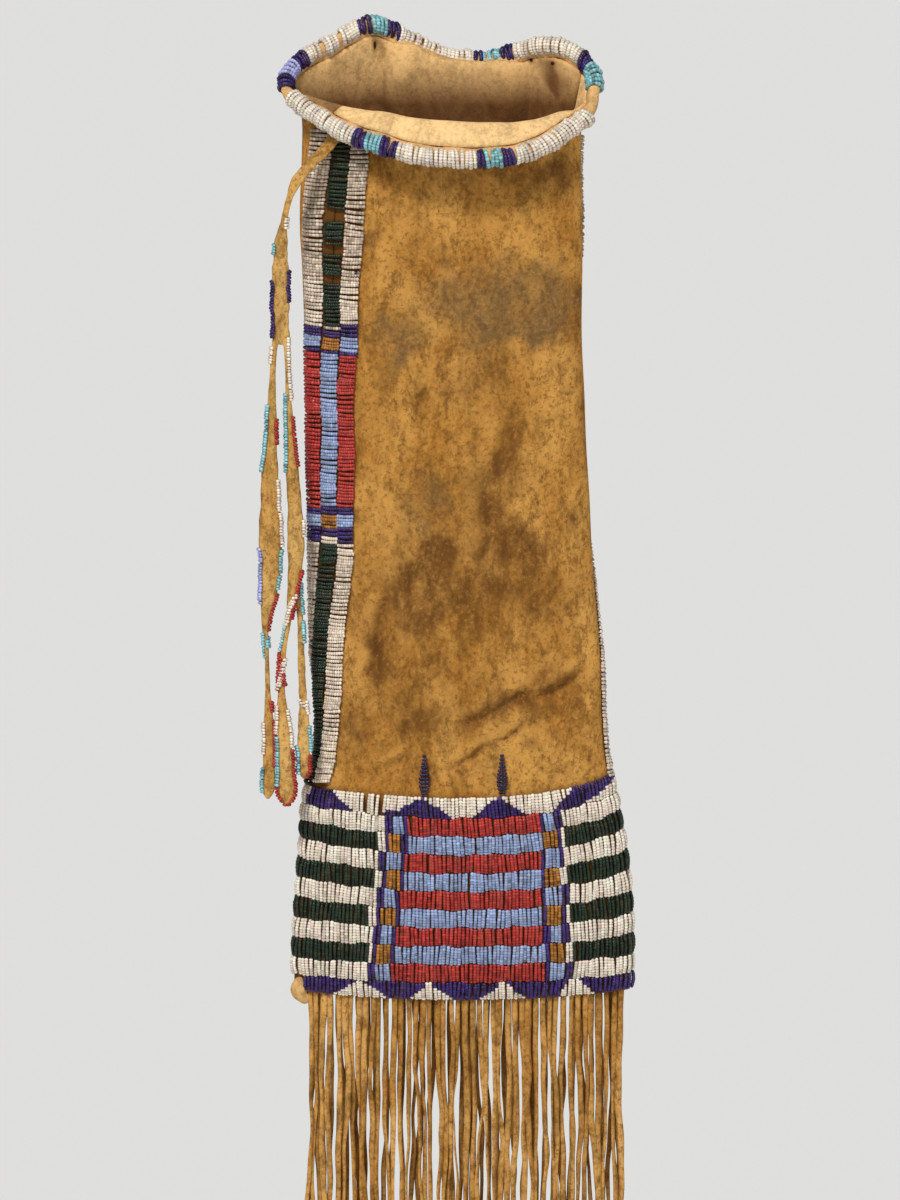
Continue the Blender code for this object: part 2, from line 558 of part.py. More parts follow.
def build_strips():
    """Beaded side strips: three ridged lanes each, over the seams."""
    steps = 2
    share = np.linspace(0, 1, STRIP_LANES * steps + 1)
    out = [LANE_EDGE_HEIGHT + (LANE_CREST_HEIGHT - LANE_EDGE_HEIGHT) * (i % steps) for i in range(len(share))]
    names = ["bead_white", "bead_green", "bead_purple", "bead_blue", "bead_amber", "bead_red"]
    for name, side in (("strip_left", 0), ("strip_right", 1)):
        reach = SEAM_COLUMNS[-1] * (2 * share - 1)
        end = lane_line(0, (0.0, RIGHT_SEAM[0][1])[side] + reach).max() + PANEL_GAP
        bands = {h for h, _ in STRIP_BANDS} | set(HIDE_ROWS)
        heights = sorted({h for h in bands if end + 2 < h < STRIP_TOP_H - 2} | {STRIP_TOP_H, end})
        rings = []
        for h in heights:
            u = seam(np.array(h))[side] + reach
            feet = cover(u[::-1], np.full(len(u), h), np.full(len(u), REST_GAP))
            rings.append([*feet, *cover(u, np.full(len(u), h), np.array(out))])

        def field(ring, edge, heights=heights):
            middle = (heights[ring] + heights[ring + 1]) / 2
            band = next(colours for top, colours in STRIP_BANDS if middle < top)
            place = min(max(edge - len(share), 0) // steps, STRIP_LANES - 1)
            return names.index(band[place])

        loft(name, np.array(rings), names, field)


def build_feathers():
    """Two small bead feathers that stand on the panel's top edge."""
    for name, x in FEATHERS.items():
        foot = float(lane_line(0, np.array(u_at_x(x, PANEL_TOP)))) + PANEL_GAP
        rings = []
        for share, half in FEATHER_SHAPE:
            h = foot + FEATHER_HEIGHT * share
            u = np.array([u_at_x(x + side * half, h) for side in (1, -1)])
            low = cover(u, np.full(2, h), np.full(2, REST_GAP))
            high = cover(np.append(u, u_at_x(x, h))[[1, 2, 0]], np.full(3, h), np.array([1.0, FEATHER_CREST, 1.0]))
            rings.append([*low, *high])
        loft(name, np.array(rings), ["bead_purple"])


def bottom_edge(x):
    """Height of the hide's bottom edge over x."""
    return float(lane_line(HIDE_END_LANE, np.array(u_at_x(x, FOOT_H))))


def build_fringe():
    """Fringe: a header along the bottom edge, and hanging strips cut below it."""
    pitch = (FRINGE_RIGHT - FRINGE_LEFT) / FRINGE_STRIPS
    cut = pitch * FRINGE_CUT / 2
    points, faces = [], []

    def section(x, z, half_depth, dy=0.0):
        points.extend(((x, dy - half_depth, z), (x, dy + half_depth, z)))
        return len(points) - 2

    header = []
    for i in range(FRINGE_STRIPS):
        left = FRINGE_LEFT + i * pitch
        for x in (left + cut, left + pitch - cut):
            top = bottom_edge(x) - REST_GAP
            header.append((section(x, top, HEADER_HALF_DEPTH), section(x, top - HEADER_HEIGHT, HEADER_HALF_DEPTH), x,
                           top - HEADER_HEIGHT))
    for i, (a, b) in enumerate(zip(header, header[1:])):
        faces.append((a[0], a[1], b[1], b[0]))
        faces.append((a[0] + 1, b[0] + 1, b[1] + 1, a[1] + 1))
        faces.append((a[0], b[0], b[0] + 1, a[0] + 1))
        if i % 2 == 1:
            faces.append((a[1], a[1] + 1, b[1] + 1, b[1]))
    first, last = header[0], header[-1]
    faces.append((first[0], first[0] + 1, first[1] + 1, first[1]))
    faces.append((last[0], last[1], last[1] + 1, last[0] + 1))
    bottom = min(h[3] for h in header) - FRINGE_LENGTH
    for i in range(FRINGE_STRIPS):
        a, b = header[2 * i], header[2 * i + 1]
        before = (a[1], a[1] + 1, b[1] + 1, b[1])
        stagger = FRINGE_STAGGER if i % 2 else -FRINGE_STAGGER
        for step in range(1, FRINGE_STEPS + 1):
            share = step / FRINGE_STEPS
            z = a[3] + (bottom - a[3]) * share + FRINGE_UNEVEN * np.sin(2.3 * i) * (step == FRINGE_STEPS)
            sway = FRINGE_SWAY * np.sin(5.0 * share + 0.05 * i) * share
            dy = stagger + FRINGE_BOW * np.sin(4.0 * share + 0.11 * i)
            left, right = a[2] + sway, b[2] + sway
            low = section(left, z, STRIP_HALF_DEPTH, dy)
            high = section(right, z, STRIP_HALF_DEPTH, dy)
            ring = (low, low + 1, high + 1, high)
            for j in range(4):
                k = (j + 1) % 4
                faces.append((before[j], before[k], ring[k], ring[j]))
            before = ring
        faces.append(before)
    add_object("fringe", points, faces, ["hide"])


def thong_root():
    """Rings of the stem where it leaves the hide under the lip, lying along the hide."""
    u, h, out, half = np.array(THONG_ROOT).T
    centre, normal = cover(u, h, out), skin_normal(u, h)
    normal[:, 2] = 0
    normal /= np.linalg.norm(normal, axis=1, keepdims=True)
    aside = np.cross((0, 0, 1), normal) * half[:, None]
    facing = -normal * THONG_THICKNESS / 2
    return np.stack((centre - aside - facing, centre + aside - facing, centre + aside + facing,
                     centre - aside + facing), axis=1)


def build_thongs():
    """Tie thongs: flat straps that narrow to a twist and widen to leaves."""
    for name, route in THONGS.items():
        x, y, z, half, turn = np.array(route, float).T
        angle = np.radians(turn)
        aside = np.stack((np.cos(angle), -np.sin(angle), 0 * angle), axis=1) * half[:, None]
        facing = np.stack((np.sin(angle), np.cos(angle), 0 * angle), axis=1) * THONG_THICKNESS / 2
        centre = np.stack((x, y, z), axis=1)
        rings = np.stack((centre - aside - facing, centre + aside - facing, centre + aside + facing,
                          centre - aside + facing), axis=1)
        if name == "thong_stem":
            rings = np.concatenate((thong_root(), rings))
        loft(name, rings, ["thong"])


def main():
    """Build the bag in an empty scene."""
    for old in list(bpy.data.objects):
        bpy.data.objects.remove(old, do_unlink=True)
    build_hides()
    build_rim()
    build_bars()
    build_columns()
    build_back_field()
    build_pattern_lane("lane_top", 0, "bead_white", "bead_purple", TOP_TRIANGLES, TOP_BLOCKS)
    build_pattern_lane("lane_bottom", 10, "bead_purple", "bead_white", BOTTOM_TRIANGLES, BOTTOM_BLOCKS)
    build_strips()
    build_feathers()
    build_fringe()
    build_thongs()


main()
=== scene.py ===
# %% [markdown]
# A beaded hide bag, hanging by its mouth
#
# The real thing is a long tube of smoked hide. Its mouth is turned outward and bound with beads, a beaded
# strip covers each side seam, a band of bead lanes goes round the lower end, and a cut fringe hangs below.
# We load the solid model as a fixed frame and dress it. Every bead string is laid on one mathematical
# surface, the outside of the hide, so the first job is to write that surface down.

import bpy
import numpy as np
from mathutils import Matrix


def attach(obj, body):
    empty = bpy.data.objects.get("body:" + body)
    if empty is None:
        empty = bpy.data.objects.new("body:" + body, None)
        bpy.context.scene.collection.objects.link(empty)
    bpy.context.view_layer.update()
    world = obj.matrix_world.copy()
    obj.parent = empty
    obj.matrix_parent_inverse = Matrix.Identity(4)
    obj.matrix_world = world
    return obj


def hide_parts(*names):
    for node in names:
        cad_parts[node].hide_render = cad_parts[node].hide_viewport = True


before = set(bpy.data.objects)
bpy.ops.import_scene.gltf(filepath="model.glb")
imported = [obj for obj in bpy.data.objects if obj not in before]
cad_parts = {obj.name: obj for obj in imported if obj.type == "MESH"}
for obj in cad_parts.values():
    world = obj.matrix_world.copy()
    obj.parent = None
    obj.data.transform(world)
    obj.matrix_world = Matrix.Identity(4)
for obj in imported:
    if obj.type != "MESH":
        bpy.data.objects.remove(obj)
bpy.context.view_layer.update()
MM = 0.001
print("nodes in the frame:", len(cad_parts))

# %% [markdown]
# The camera comes first, because it fixes what the picture has to match. A long lens far away keeps the bag
# almost without perspective, and a small elevation looks down into the mouth a little.

# %% Camera
VIEW_HEIGHT_MM = 600.0
VIEW_ELEVATION = np.radians(12.0)
VIEW_DISTANCE_MM = 20000.0
VIEW_CENTRE_MM = (0.0, 0.0, -255.6)
SENSOR_MM = 36.0

camera_data = bpy.data.cameras.new("camera")
camera_data.sensor_width = SENSOR_MM
camera_data.lens = SENSOR_MM * VIEW_DISTANCE_MM / VIEW_HEIGHT_MM
camera = bpy.data.objects.new("camera", camera_data)
bpy.context.scene.collection.objects.link(camera)
away = np.array((0.0, -np.cos(VIEW_ELEVATION), np.sin(VIEW_ELEVATION)))
camera.location = (np.array(VIEW_CENTRE_MM) + away * VIEW_DISTANCE_MM) * MM
camera.rotation_euler = (np.pi / 2 - VIEW_ELEVATION, 0.0, 0.0)
bpy.context.scene.camera = camera
print("lens", round(camera_data.lens, 1), "mm")

# %% [markdown]
# The hide is a flattened tube. Its left and right edges and its depth change with height, and each level is
# half a superellipse in front and half behind. We need places by length round the bag, not by angle, so that
# beads come out evenly spaced: a small table turns a share of the length into a place on the superellipse.

# %% Sizes of the hide, in millimetres
NECK_H, RIM_H = -70.0, 0.0
OVAL_POWER = 2.5
# Height, left edge and right edge
EDGES = ((-470, -78.0, 90.0), (-447, -78.0, 90.5), (-409, -76.0, 89.5), (-383, -74.0, 87.0),
         (-350, -71.0, 81.0), (-337, -67.5, 78.5), (-281, -68.5, 75.0), (-230, -69.5, 71.0),
         (-153, -72.0, 67.5), (-102, -73.5, 65.0), (NECK_H, -74.5, 66.0))
# Height and half depth
DEPTHS = ((-470, 4.6), (-460, 5.5), (-440, 8.5), (-400, 10.5), (-337, 12.0), (-230, 15.0), (-153, 18.0),
          (NECK_H, 21.0))
# Points on the centre line of the beaded roll, from the left corner to the right one
FRONT_RIM = (
    (-81.5, -1, 4.5), (-79.5, -5, 2.0), (-75, -10, -0.5), (-65, -18, -6.0), (-55, -24, -11.0),
    (-45, -29, -14.6), (-36.5, -32, -16.4), (-25, -35, -19.8), (-12.5, -37, -22.0), (0, -38, -22.9),
    (14, -37.5, -23.4), (23.5, -36.5, -22.9), (35, -33.5, -21.8), (47.5, -28, -17.8), (60, -20, -11),
    (68, -12.5, -6.2), (71.5, -6, -0.5), (71.5, -2, 2.6))
BACK_RIM = (
    (-81.5, -1, 4.5), (-81, 4, 10.0), (-77.5, 8, 14.9), (-70, 12, 20.0), (-60, 16, 24.2), (-51, 19, 29.2),
    (-39, 20, 34), (-30, 22, 31.0), (-23, 23.5, 26.8), (-12, 25, 20.5), (0, 25.5, 16.2), (13, 25.5, 14.7),
    (21.5, 25, 15.4), (32.7, 23, 19.0), (46, 18.5, 23.2), (55, 15, 23.4), (62.5, 12, 20.4), (68, 9, 16.2),
    (71, 5.5, 11.5), (72, 2, 7), (71.5, -2, 2.6))
RIM_RADIUS, RIM_SEAT = 4.8, 1.1
# How far the full lip is turned over, in degrees, and how soon it is away from the corners
LIP_TURN, LIP_SHARPNESS = 153, 0.22
# How strongly the curve pulls at the neck, at a full lip and where the hide drops straight from the roll,
# and the share of that pull that is left where it comes to the roll level
NECK_REACH, LIP_REACH, DROP_REACH, LEVEL_SHARE = 42.0, 38.0, 26.0, 0.25
# How far the hide leans in at the corners, and how short that stretch is in front and behind
CORNER_LEAN, CORNER_FRONT, CORNER_BACK = 0.5, 2, 5
# Between which places the rear's edge folds back, over what stretch the fold comes on, and how far it goes
FOLD_BACK, FOLD_RAMP, FOLD_TURN = (0.63, 0.83), 0.05, -0.5
# Steps for the rim's direction, in front and more at the rear, and how much less square the rear is to it
RIM_STEP, REAR_STEP, REAR_SLACK = 0.004, 0.012, 0.55
HIDE_THICKNESS = 2.0
FULL_GIRTH = 340.0


# %% Curves and tables
def smooth_curve(x, knots):
    """Hermite curve through rows of (x, value, ...): cubic pieces that share the knots' mean slopes."""
    table = np.array(knots, float)
    table = table[np.argsort(table[:, 0])]
    at, values = table[:, 0], table[:, 1:]
    slopes = np.gradient(values, at, axis=0)
    x = np.clip(np.asarray(x, float), at[0], at[-1])
    i = np.clip(np.searchsorted(at, x, side="right") - 1, 0, len(at) - 2)
    step = at[i + 1] - at[i]
    t, step = ((x - at[i]) / step)[..., None], step[..., None]
    return ((2 * t**3 - 3 * t**2 + 1) * values[i] + (t**3 - 2 * t**2 + t) * step * slopes[i]
            + (3 * t**2 - 2 * t**3) * values[i + 1] + (t**3 - t**2) * step * slopes[i + 1])


def unit(vectors, least=0.0):
    """Vectors scaled to length 1; least keeps a vector of no length from dividing by zero."""
    return vectors / (np.linalg.norm(vectors, axis=-1, keepdims=True) + least)


def walked(points):
    """Length of the way to each point of a path."""
    return np.concatenate(([0], np.cumsum(np.linalg.norm(np.diff(points, axis=0), axis=1))))


def oval_tables(samples=160, ratios=np.linspace(0.03, 0.4, 20)):
    """|x|^p + |y/ratio|^p = 1 for half a turn, resampled to equal steps of length for each ratio."""
    angle = np.linspace(0, np.pi, 3001)
    across = -np.sign(np.cos(angle)) * np.abs(np.cos(angle)) ** (2 / OVAL_POWER)
    share = np.linspace(0, 1, samples + 1)
    xs, ys = [], []
    for ratio in ratios:
        deep = ratio * np.sin(angle) ** (2 / OVAL_POWER)
        length = np.concatenate(([0], np.cumsum(np.hypot(np.diff(across), np.diff(deep)))))
        xs.append(np.interp(share * length[-1], length, across))
        ys.append(np.interp(share * length[-1], length, deep))
    return ratios, share, np.array(xs), np.array(ys)


RATIOS, SHARES, OVAL_X, OVAL_Y = oval_tables()


def half_oval(share, ratio):
    """Across and depth at a share of the half oval's length, blended between table entries."""
    i = np.clip((share * (len(SHARES) - 1)).astype(int), 0, len(SHARES) - 2)
    s = share * (len(SHARES) - 1) - i
    r = np.clip((ratio - RATIOS[0]) / (RATIOS[1] - RATIOS[0]), 0, len(RATIOS) - 1.001)
    j = r.astype(int)
    r = r - j
    return [(1 - r) * ((1 - s) * t[j, i] + s * t[j, i + 1])
            + r * ((1 - s) * t[j + 1, i] + s * t[j + 1, i + 1]) for t in (OVAL_X, OVAL_Y)]


# %% [markdown]
# Below the neck the skin is that tube. Above it, each place round the bag rises along a Bezier curve to the
# rim. In front the curve goes up, turns over and comes down outside, which makes the soft lip. At the back it
# rises, and leans back a little between its two peaks. One number, how far the edge is turned, says which.

# %% The skin of the bag
def tube(u, z):
    """Half ovals: x = centre + half width * across, y = -depth in front and +depth behind."""
    left, right = np.moveaxis(smooth_curve(z, EDGES), -1, 0)
    half = (right - left) / 2
    depth = smooth_curve(z, DEPTHS)[..., 0]
    front = u < 0.5
    across, deep = half_oval(np.where(front, 2 * u, 2 * u - 1), depth / half)
    side = np.where(front, 1.0, -1.0)
    return np.stack((left + half + side * half * across, -side * half * deep, z), axis=-1)


def along(points, share):
    """Point at a share of a smooth curve's length."""
    points = np.array(points, float)
    length = walked(points)
    return smooth_curve(share * length[-1], np.column_stack((length, points)))


def rim(u):
    """Centre line of the beaded roll: one curve for the front and one for the back."""
    u = np.asarray(u, float) % 1.0
    front = (u < 0.5)[..., None]
    return np.where(front, along(FRONT_RIM, np.clip(2 * u, 0, 1)),
                    along(BACK_RIM, np.clip(2 - 2 * u, 0, 1)))


def skin(u, h):
    """Outside of the hide: the tube up to the neck, then (1-t)^3 a + 3(1-t)^2 t b + 3(1-t) t^2 c + t^3 d."""
    u, h = np.broadcast_arrays(np.asarray(u, float) % 1.0, np.asarray(h, float))
    low = tube(u, np.minimum(h, NECK_H))
    t = (np.clip((h - NECK_H) / (RIM_H - NECK_H), 0, 1))[..., None]
    front, wave = u < 0.5, np.sin(2 * np.pi * u)
    ramp = np.clip(np.minimum(u - FOLD_BACK[0], FOLD_BACK[1] - u) / FOLD_RAMP, 0, 1)
    turned = np.where(front, np.clip(wave, 0, 1) ** LIP_SHARPNESS, FOLD_TURN * ramp**2 * (3 - 2 * ramp))
    tilt = np.radians(LIP_TURN * turned - 90)
    corner = np.clip(1 - np.where(front, CORNER_FRONT, CORNER_BACK) * np.abs(wave), 0, 1)
    lean = CORNER_LEAN * np.sign(np.cos(2 * np.pi * u)) * corner**2 * (3 - 2 * corner)
    way = np.stack((lean, np.cos(tilt), np.sin(tilt)), axis=-1)
    # The rear's rim has a sharp peak, where a hide quite square to it would cross itself
    mild = np.where(front, 0, np.clip(4 * np.abs(wave), 0, 1))
    step = RIM_STEP + REAR_STEP * mild
    ahead = unit(rim(u + step) - rim(u - step))
    way -= (1 - REAR_SLACK * mild[..., None]) * (way * ahead).sum(axis=-1, keepdims=True) * ahead
    way = unit(way)
    end = rim(u) + (RIM_RADIUS + RIM_SEAT) * way
    start = tube(u, np.full_like(u, NECK_H))
    pull_up = start + (0, 0, NECK_REACH)
    reach = DROP_REACH + (LIP_REACH - DROP_REACH) * np.clip(turned, 0, 1)
    reach = reach * (LEVEL_SHARE + (1 - LEVEL_SHARE) * np.sin(tilt) ** 2)
    pull_end = end + reach[..., None] * way
    high = (1 - t)**3 * start + 3 * (1 - t)**2 * t * pull_up + 3 * (1 - t) * t**2 * pull_end + t**3 * end
    return np.where((h > NECK_H)[..., None], high, low)


def skin_normal(u, h):
    """Cross product of the two directions along the skin, by small differences."""
    du, dh = 0.002, 0.4
    top = np.minimum(np.asarray(h, float) + dh, RIM_H)
    across = skin(np.asarray(u) + du, h) - skin(np.asarray(u) - du, h)
    up = skin(u, top) - skin(u, top - 2 * dh)
    return unit(np.cross(across, up))


def cover(u, h, out):
    """Point that stands out millimetres off the hide."""
    return skin(u, h) + np.asarray(out, float)[..., None] * skin_normal(u, h)


def u_at_x(x, h, rear=False):
    """Places round the bag where the front, or the rear, reaches x at heights h."""
    x, h = np.broadcast_arrays(np.asarray(x, float), np.asarray(h, float))
    left, right = np.moveaxis(smooth_curve(h, EDGES), -1, 0)
    half = (right - left) / 2
    ratio = smooth_curve(h, DEPTHS)[..., 0] / half
    across = (x - left - half) / half
    share = np.array([np.interp(a, *half_row(r)) for a, r in zip(across.ravel(), ratio.ravel())])
    share = share.reshape(x.shape)
    return 1 - share / 2 if rear else share / 2


def half_row(ratio):
    """The across values of one half oval and their shares, for looking a place up."""
    return half_oval(SHARES, np.full_like(SHARES, ratio))[0], SHARES


lip_line = skin(np.full(60, 0.25), np.linspace(-60, 0, 60))
print("front lip crest at", lip_line[:, 2].max().round(1), "mm")

# %% [markdown]
# The seams lie under the side strips, and the panel is a stack of lanes whose lines sag in the middle, as a
# soft bag's do when it hangs from its corners.

# %% Seams, lanes and columns
# Height and place round the bag of each seam
LEFT_SEAM = ((-470, 0.0), (-375, 0.0), (-356, 0.0), (-341, 0.001), (-305, 0.012), (-227, 0.046),
             (-153, 0.060), (-70, 0.078), (-30, 0.081))
RIGHT_SEAM = ((-470, 0.53), (-341, 0.53), (-230, 0.543), (-30, 0.548))
# Height and half width of a side strip, and how far the right one drifts, as shares of the way round
STRIP_HALVES = ((-160, 0.042), (-110, 0.044), (-60, 0.0475), (-30, 0.0475))
STRIP_DRIFT = ((-341, 0.0), (-275, 0.002), (-240, 0.011), (-30, 0.012))
STRIP_TOP_H = -31.0
PANEL_TOP, TOP_LANE, BAR_LANE, BAR_LANES, BOTTOM_LANE = -354.0, 10.7, 9.43, 9, 9.2
# Lane line, and how much higher it lies at the left and the right edge than in the middle
SAG = ((0, 4.8, 11.0), (2.5, 7.4, 12.0), (6, 5.5, 8.0), (9.5, 3.0, 4.0), (11, 4.5, 5.0), (12, 4.5, 5.0))
# Left and right side of each column of squares at the first bar lane and at the last
LEFT_COLUMN = ((-32.5, -20.0), (-42.0, -29.0))
RIGHT_COLUMN = ((45.5, 56.5), (47.8, 61.5))
LAST_LANE = BAR_LANES + 1


def seam(h):
    """Places round the bag of the two side seams at heights h."""
    return smooth_curve(h, LEFT_SEAM)[..., 0], smooth_curve(h, RIGHT_SEAM)[..., 0]


def strip_half(h):
    """Half width of a side strip at heights h, as a share of the way round the bag."""
    return smooth_curve(h, STRIP_HALVES)[..., 0]


def strip_middles(h):
    """Middles of the two strips: the seams, but on the right it drifts to the rear higher up."""
    left, right = seam(h)
    return left, right + smooth_curve(h, STRIP_DRIFT)[..., 0]


def lane_line(lane, u):
    """Height of a lane's line: its middle height plus a lift that grows with the square of the way out."""
    u = np.asarray(u, float) % 1.0
    steps = np.concatenate(([0, TOP_LANE], np.full(BAR_LANES, BAR_LANE), [BOTTOM_LANE, BOTTOM_LANE]))
    middle = PANEL_TOP - np.interp(lane, np.arange(len(steps)), np.cumsum(steps))
    left, right = np.moveaxis(smooth_curve(np.asarray(lane, float), SAG), -1, 0)
    across = np.where(u < 0.5, 4 * u - 1, 3 - 4 * u)
    return middle + (left * (1 - across) / 2 + right * (1 + across) / 2) * across**2


def column_span(k, which, rear=False):
    """Two edges of a column of squares at lane line k, in the order that runs round the bag."""
    share = (k - 1) / BAR_LANES
    h = float(lane_line(k, 0.25))
    low, high = [a + (b - a) * share for a, b in zip(*which)]
    edges = float(u_at_x(low, h, rear)), float(u_at_x(high, h, rear))
    return edges[::-1] if rear else edges


# %% [markdown]
# Shader nodes read much better as sums. This class wraps one output socket, so that `1 - mask * 0.5` adds the
# Math nodes by itself. Every other node comes from one method that takes its type, settings and inputs.

# %% Shader expressions
class Socket:
    """One output socket, with arithmetic that adds Math nodes."""

    def __init__(self, tree, socket):
        self.tree, self.socket = tree, socket

    def node(self, kind, settings=None, out=0, **inputs):
        """Add a node. Settings are set first, then inputs: in0 is the first socket, others go by name."""
        made = self.tree.nodes.new(kind)
        for key, value in (settings or {}).items():
            setattr(made, key, value)
        for key, value in inputs.items():
            target = made.inputs[int(key[2:]) if key.startswith("in") else key]
            if isinstance(value, Socket):
                self.tree.links.new(value.socket, target)
            else:
                target.default_value = value
        return Socket(self.tree, made.outputs[out])

    def maths(self, operation, first, second):
        """A Math node on two values or sockets."""
        return self.node("ShaderNodeMath", {"operation": operation}, in0=first, in1=second)

    def __add__(self, other):
        return self.maths("ADD", self, other)

    def __sub__(self, other):
        return self.maths("SUBTRACT", self, other)

    def __rsub__(self, other):
        return self.maths("SUBTRACT", other, self)

    def __mul__(self, other):
        return self.maths("MULTIPLY", self, other)

    __radd__, __rmul__ = __add__, __mul__

    def clamp(self):
        """Keep the value between 0 and 1."""
        return self.node("ShaderNodeClamp", None, in0=self)

    def between(self, low, high):
        """0 below low, 1 above high and a smooth step from one to the other."""
        return self.node("ShaderNodeMapRange", {"interpolation_type": "SMOOTHSTEP"}, in0=self, in1=low,
                         in2=high, in3=0.0, in4=1.0)

    def mix(self, first, second):
        """Colour that goes from first to second with this value."""
        made = self.tree.nodes.new("ShaderNodeMix")
        made.data_type = "RGBA"
        self.tree.links.new(self.socket, made.inputs[0])
        for value, target in ((first, made.inputs[6]), (second, made.inputs[7])):
            if isinstance(value, Socket):
                self.tree.links.new(value.socket, target)
            else:
                target.default_value = (*value, 1)
        return Socket(self.tree, made.outputs[2])

    def noise(self, scale, detail=3.0, roughness=0.55, distortion=0.0):
        """Noise from 0 to 1 on this vector, in cells per metre."""
        return self.node("ShaderNodeTexNoise", None, Vector=self, Scale=scale, Detail=detail,
                         Roughness=roughness, Distortion=distortion)


def start_material(name, roughness, specular=0.4):
    """New Principled material: its shader and its Object coordinates as a Socket."""
    made = bpy.data.materials.new(name)
    made.use_nodes = True
    tree = made.node_tree
    shader = tree.nodes["Principled BSDF"]
    shader.inputs["Roughness"].default_value = roughness
    shader.inputs["Specular IOR Level"].default_value = specular
    coordinates = tree.nodes.new("ShaderNodeTexCoord")
    return made, shader, Socket(tree, coordinates.outputs["Object"])


def feed(shader, name, value):
    """Link a Socket to one of the shader's inputs."""
    value.tree.links.new(value.socket, shader.inputs[name])


# %% [markdown]
# Hide is tanned over smoke: an ochre ground with clouds of brown and olive, and a dark speckle where the
# grain was scraped. The clouds are noise at several sizes. Stains, the paler flesh side, painted shade under
# the beads, in the creases and deep inside the bag, and a painted highlight on the creases' shoulders come as
# attributes of the mesh, because they belong to places on this bag, not to all hide.

# %% Hide material
HIDE_GROUND = (0.410, 0.175, 0.028)
HIDE_LIGHT = (0.640, 0.322, 0.074)
HIDE_BROWN = (0.135, 0.052, 0.010)
HIDE_OLIVE = (0.190, 0.100, 0.016)
HIDE_GREY = (0.170, 0.096, 0.036)
FRINGE_GROUND, FRINGE_LIGHT = (0.460, 0.208, 0.040), (0.720, 0.390, 0.110)
FLESH_SIDE = (0.950, 0.610, 0.270)
FLESH_SHADE = tuple(0.60 * part for part in FLESH_SIDE)
# Painted shade deep inside the bag, also used for the stains inside the mouth on the rear
INSIDE_SHADE_AND_STAIN = (0.105, 0.034, 0.008)
# Near-black painted shade where the holes and the notch open
HOLE_SHADE = (0.030, 0.012, 0.004)
# The clouds are drawn out along the height of the bag
HIDE_GRAIN_STRETCH = 1.9
# Two old holes right of the mouth's middle and a dark notch at its left peak: x, z, radius and how much the
# height counts in the distance, which draws the notch out
HOLES = ((0.0405, 0.0158, 0.0013, 1.0), (0.0512, 0.0150, 0.0012, 1.0), (-0.0375, 0.0235, 0.0012, 0.35))


def hide_material(name, ground=HIDE_GROUND, light=HIDE_LIGHT, holes=()):
    """Smoked hide. Attributes: stains and painted shade, pale patches and painted highlight, grey patches,
    flesh side, painted shade and stains deep inside, painted shade under the beads.
    """
    made, shader, point = start_material(name, 0.9, 0.12)
    long_way = point.node("ShaderNodeMapping", {"vector_type": "TEXTURE"}, Vector=point,
                          Scale=(1.0, 1.0, HIDE_GRAIN_STRETCH))
    clouds = long_way.noise(26.0, 6.0, 0.62, 0.6)
    mottle = long_way.noise(85.0, 6.0, 0.72, 0.5)
    speckle = point.noise(430.0, 4.0, 0.75)
    grain = point.noise(1500.0, 3.0, 0.7)
    scuff = long_way.noise(190.0, 5.0, 0.78, 0.3)
    smoke = long_way.noise(48.0, 6.0, 0.72, 1.2)

    def painted(attribute):
        """Values that the mesh carries for its own places."""
        return point.node("ShaderNodeAttribute", {"attribute_name": attribute}, out=2)

    colour = clouds.between(0.38, 0.62).mix(ground, light)
    colour = (mottle.between(0.46, 0.68) * 0.55).mix(colour, HIDE_OLIVE)
    colour = (smoke.between(0.50, 0.70) * 0.55).mix(colour, HIDE_BROWN)
    colour = (scuff.between(0.49, 0.64) * 0.62).mix(colour, HIDE_BROWN)
    colour = (scuff.between(0.48, 0.34) * 0.45).mix(colour, light)
    worn = 0.45 + 0.55 * mottle.between(0.30, 0.66)
    # Pale patches, and a painted highlight on the crease shoulders
    colour = (painted("pale") * (0.4 + 0.6 * clouds)).clamp().mix(colour, light)
    # Stains, with painted shade in the crease troughs and a painted shadow under the roll; on the fringe, the
    # rear layer's painted shade
    colour = (painted("stain") * worn).clamp().mix(colour, HIDE_BROWN)
    colour = (painted("grey") * worn * 0.9).clamp().mix(colour, HIDE_GREY)
    colour = (speckle.between(0.50, 0.64) * 0.55).mix(colour, HIDE_BROWN)
    colour = (speckle.between(0.46, 0.32) * 0.30).mix(colour, light)
    soft = (mottle * 0.6 + speckle * 0.6).between(0.50, 0.78).mix(FLESH_SIDE, FLESH_SHADE)
    colour = painted("flesh").clamp().mix(colour, soft)
    # Painted shade deep inside the bag, and the stains inside the mouth on the rear
    colour = (painted("deep") * (0.75 + 0.35 * mottle)).clamp().mix(colour, INSIDE_SHADE_AND_STAIN)
    # Painted shade under the bead strings
    colour = painted("dirt").clamp().mix(colour, HIDE_BROWN)
    for x, z, radius, counts in holes:
        flat = point.node("ShaderNodeVectorMath", {"operation": "MULTIPLY"}, in0=point,
                          in1=(1.0, 0.0, counts))
        away = point.node("ShaderNodeVectorMath", {"operation": "DISTANCE"}, out=1, in0=flat,
                          in1=(x, 0.0, z * counts))
        ring = (away + mottle * 0.0010).between(radius * 2.4, radius * 1.2) * 0.45
        colour = ring.mix(colour, HIDE_BROWN)
        # The near-black core is painted shade where the hole opens
        colour = (away + mottle * 0.0008).between(radius * 1.2, radius * 0.8).mix(colour, HOLE_SHADE)
    feed(shader, "Base Color", colour)
    feed(shader, "Roughness", 0.82 + grain * 0.14)
    height = grain * 0.35 + speckle * 0.8 + mottle * 1.1 + scuff * 0.8
    feed(shader, "Normal", point.node("ShaderNodeBump", None, Strength=0.55, Distance=0.0008, Height=height))
    return made


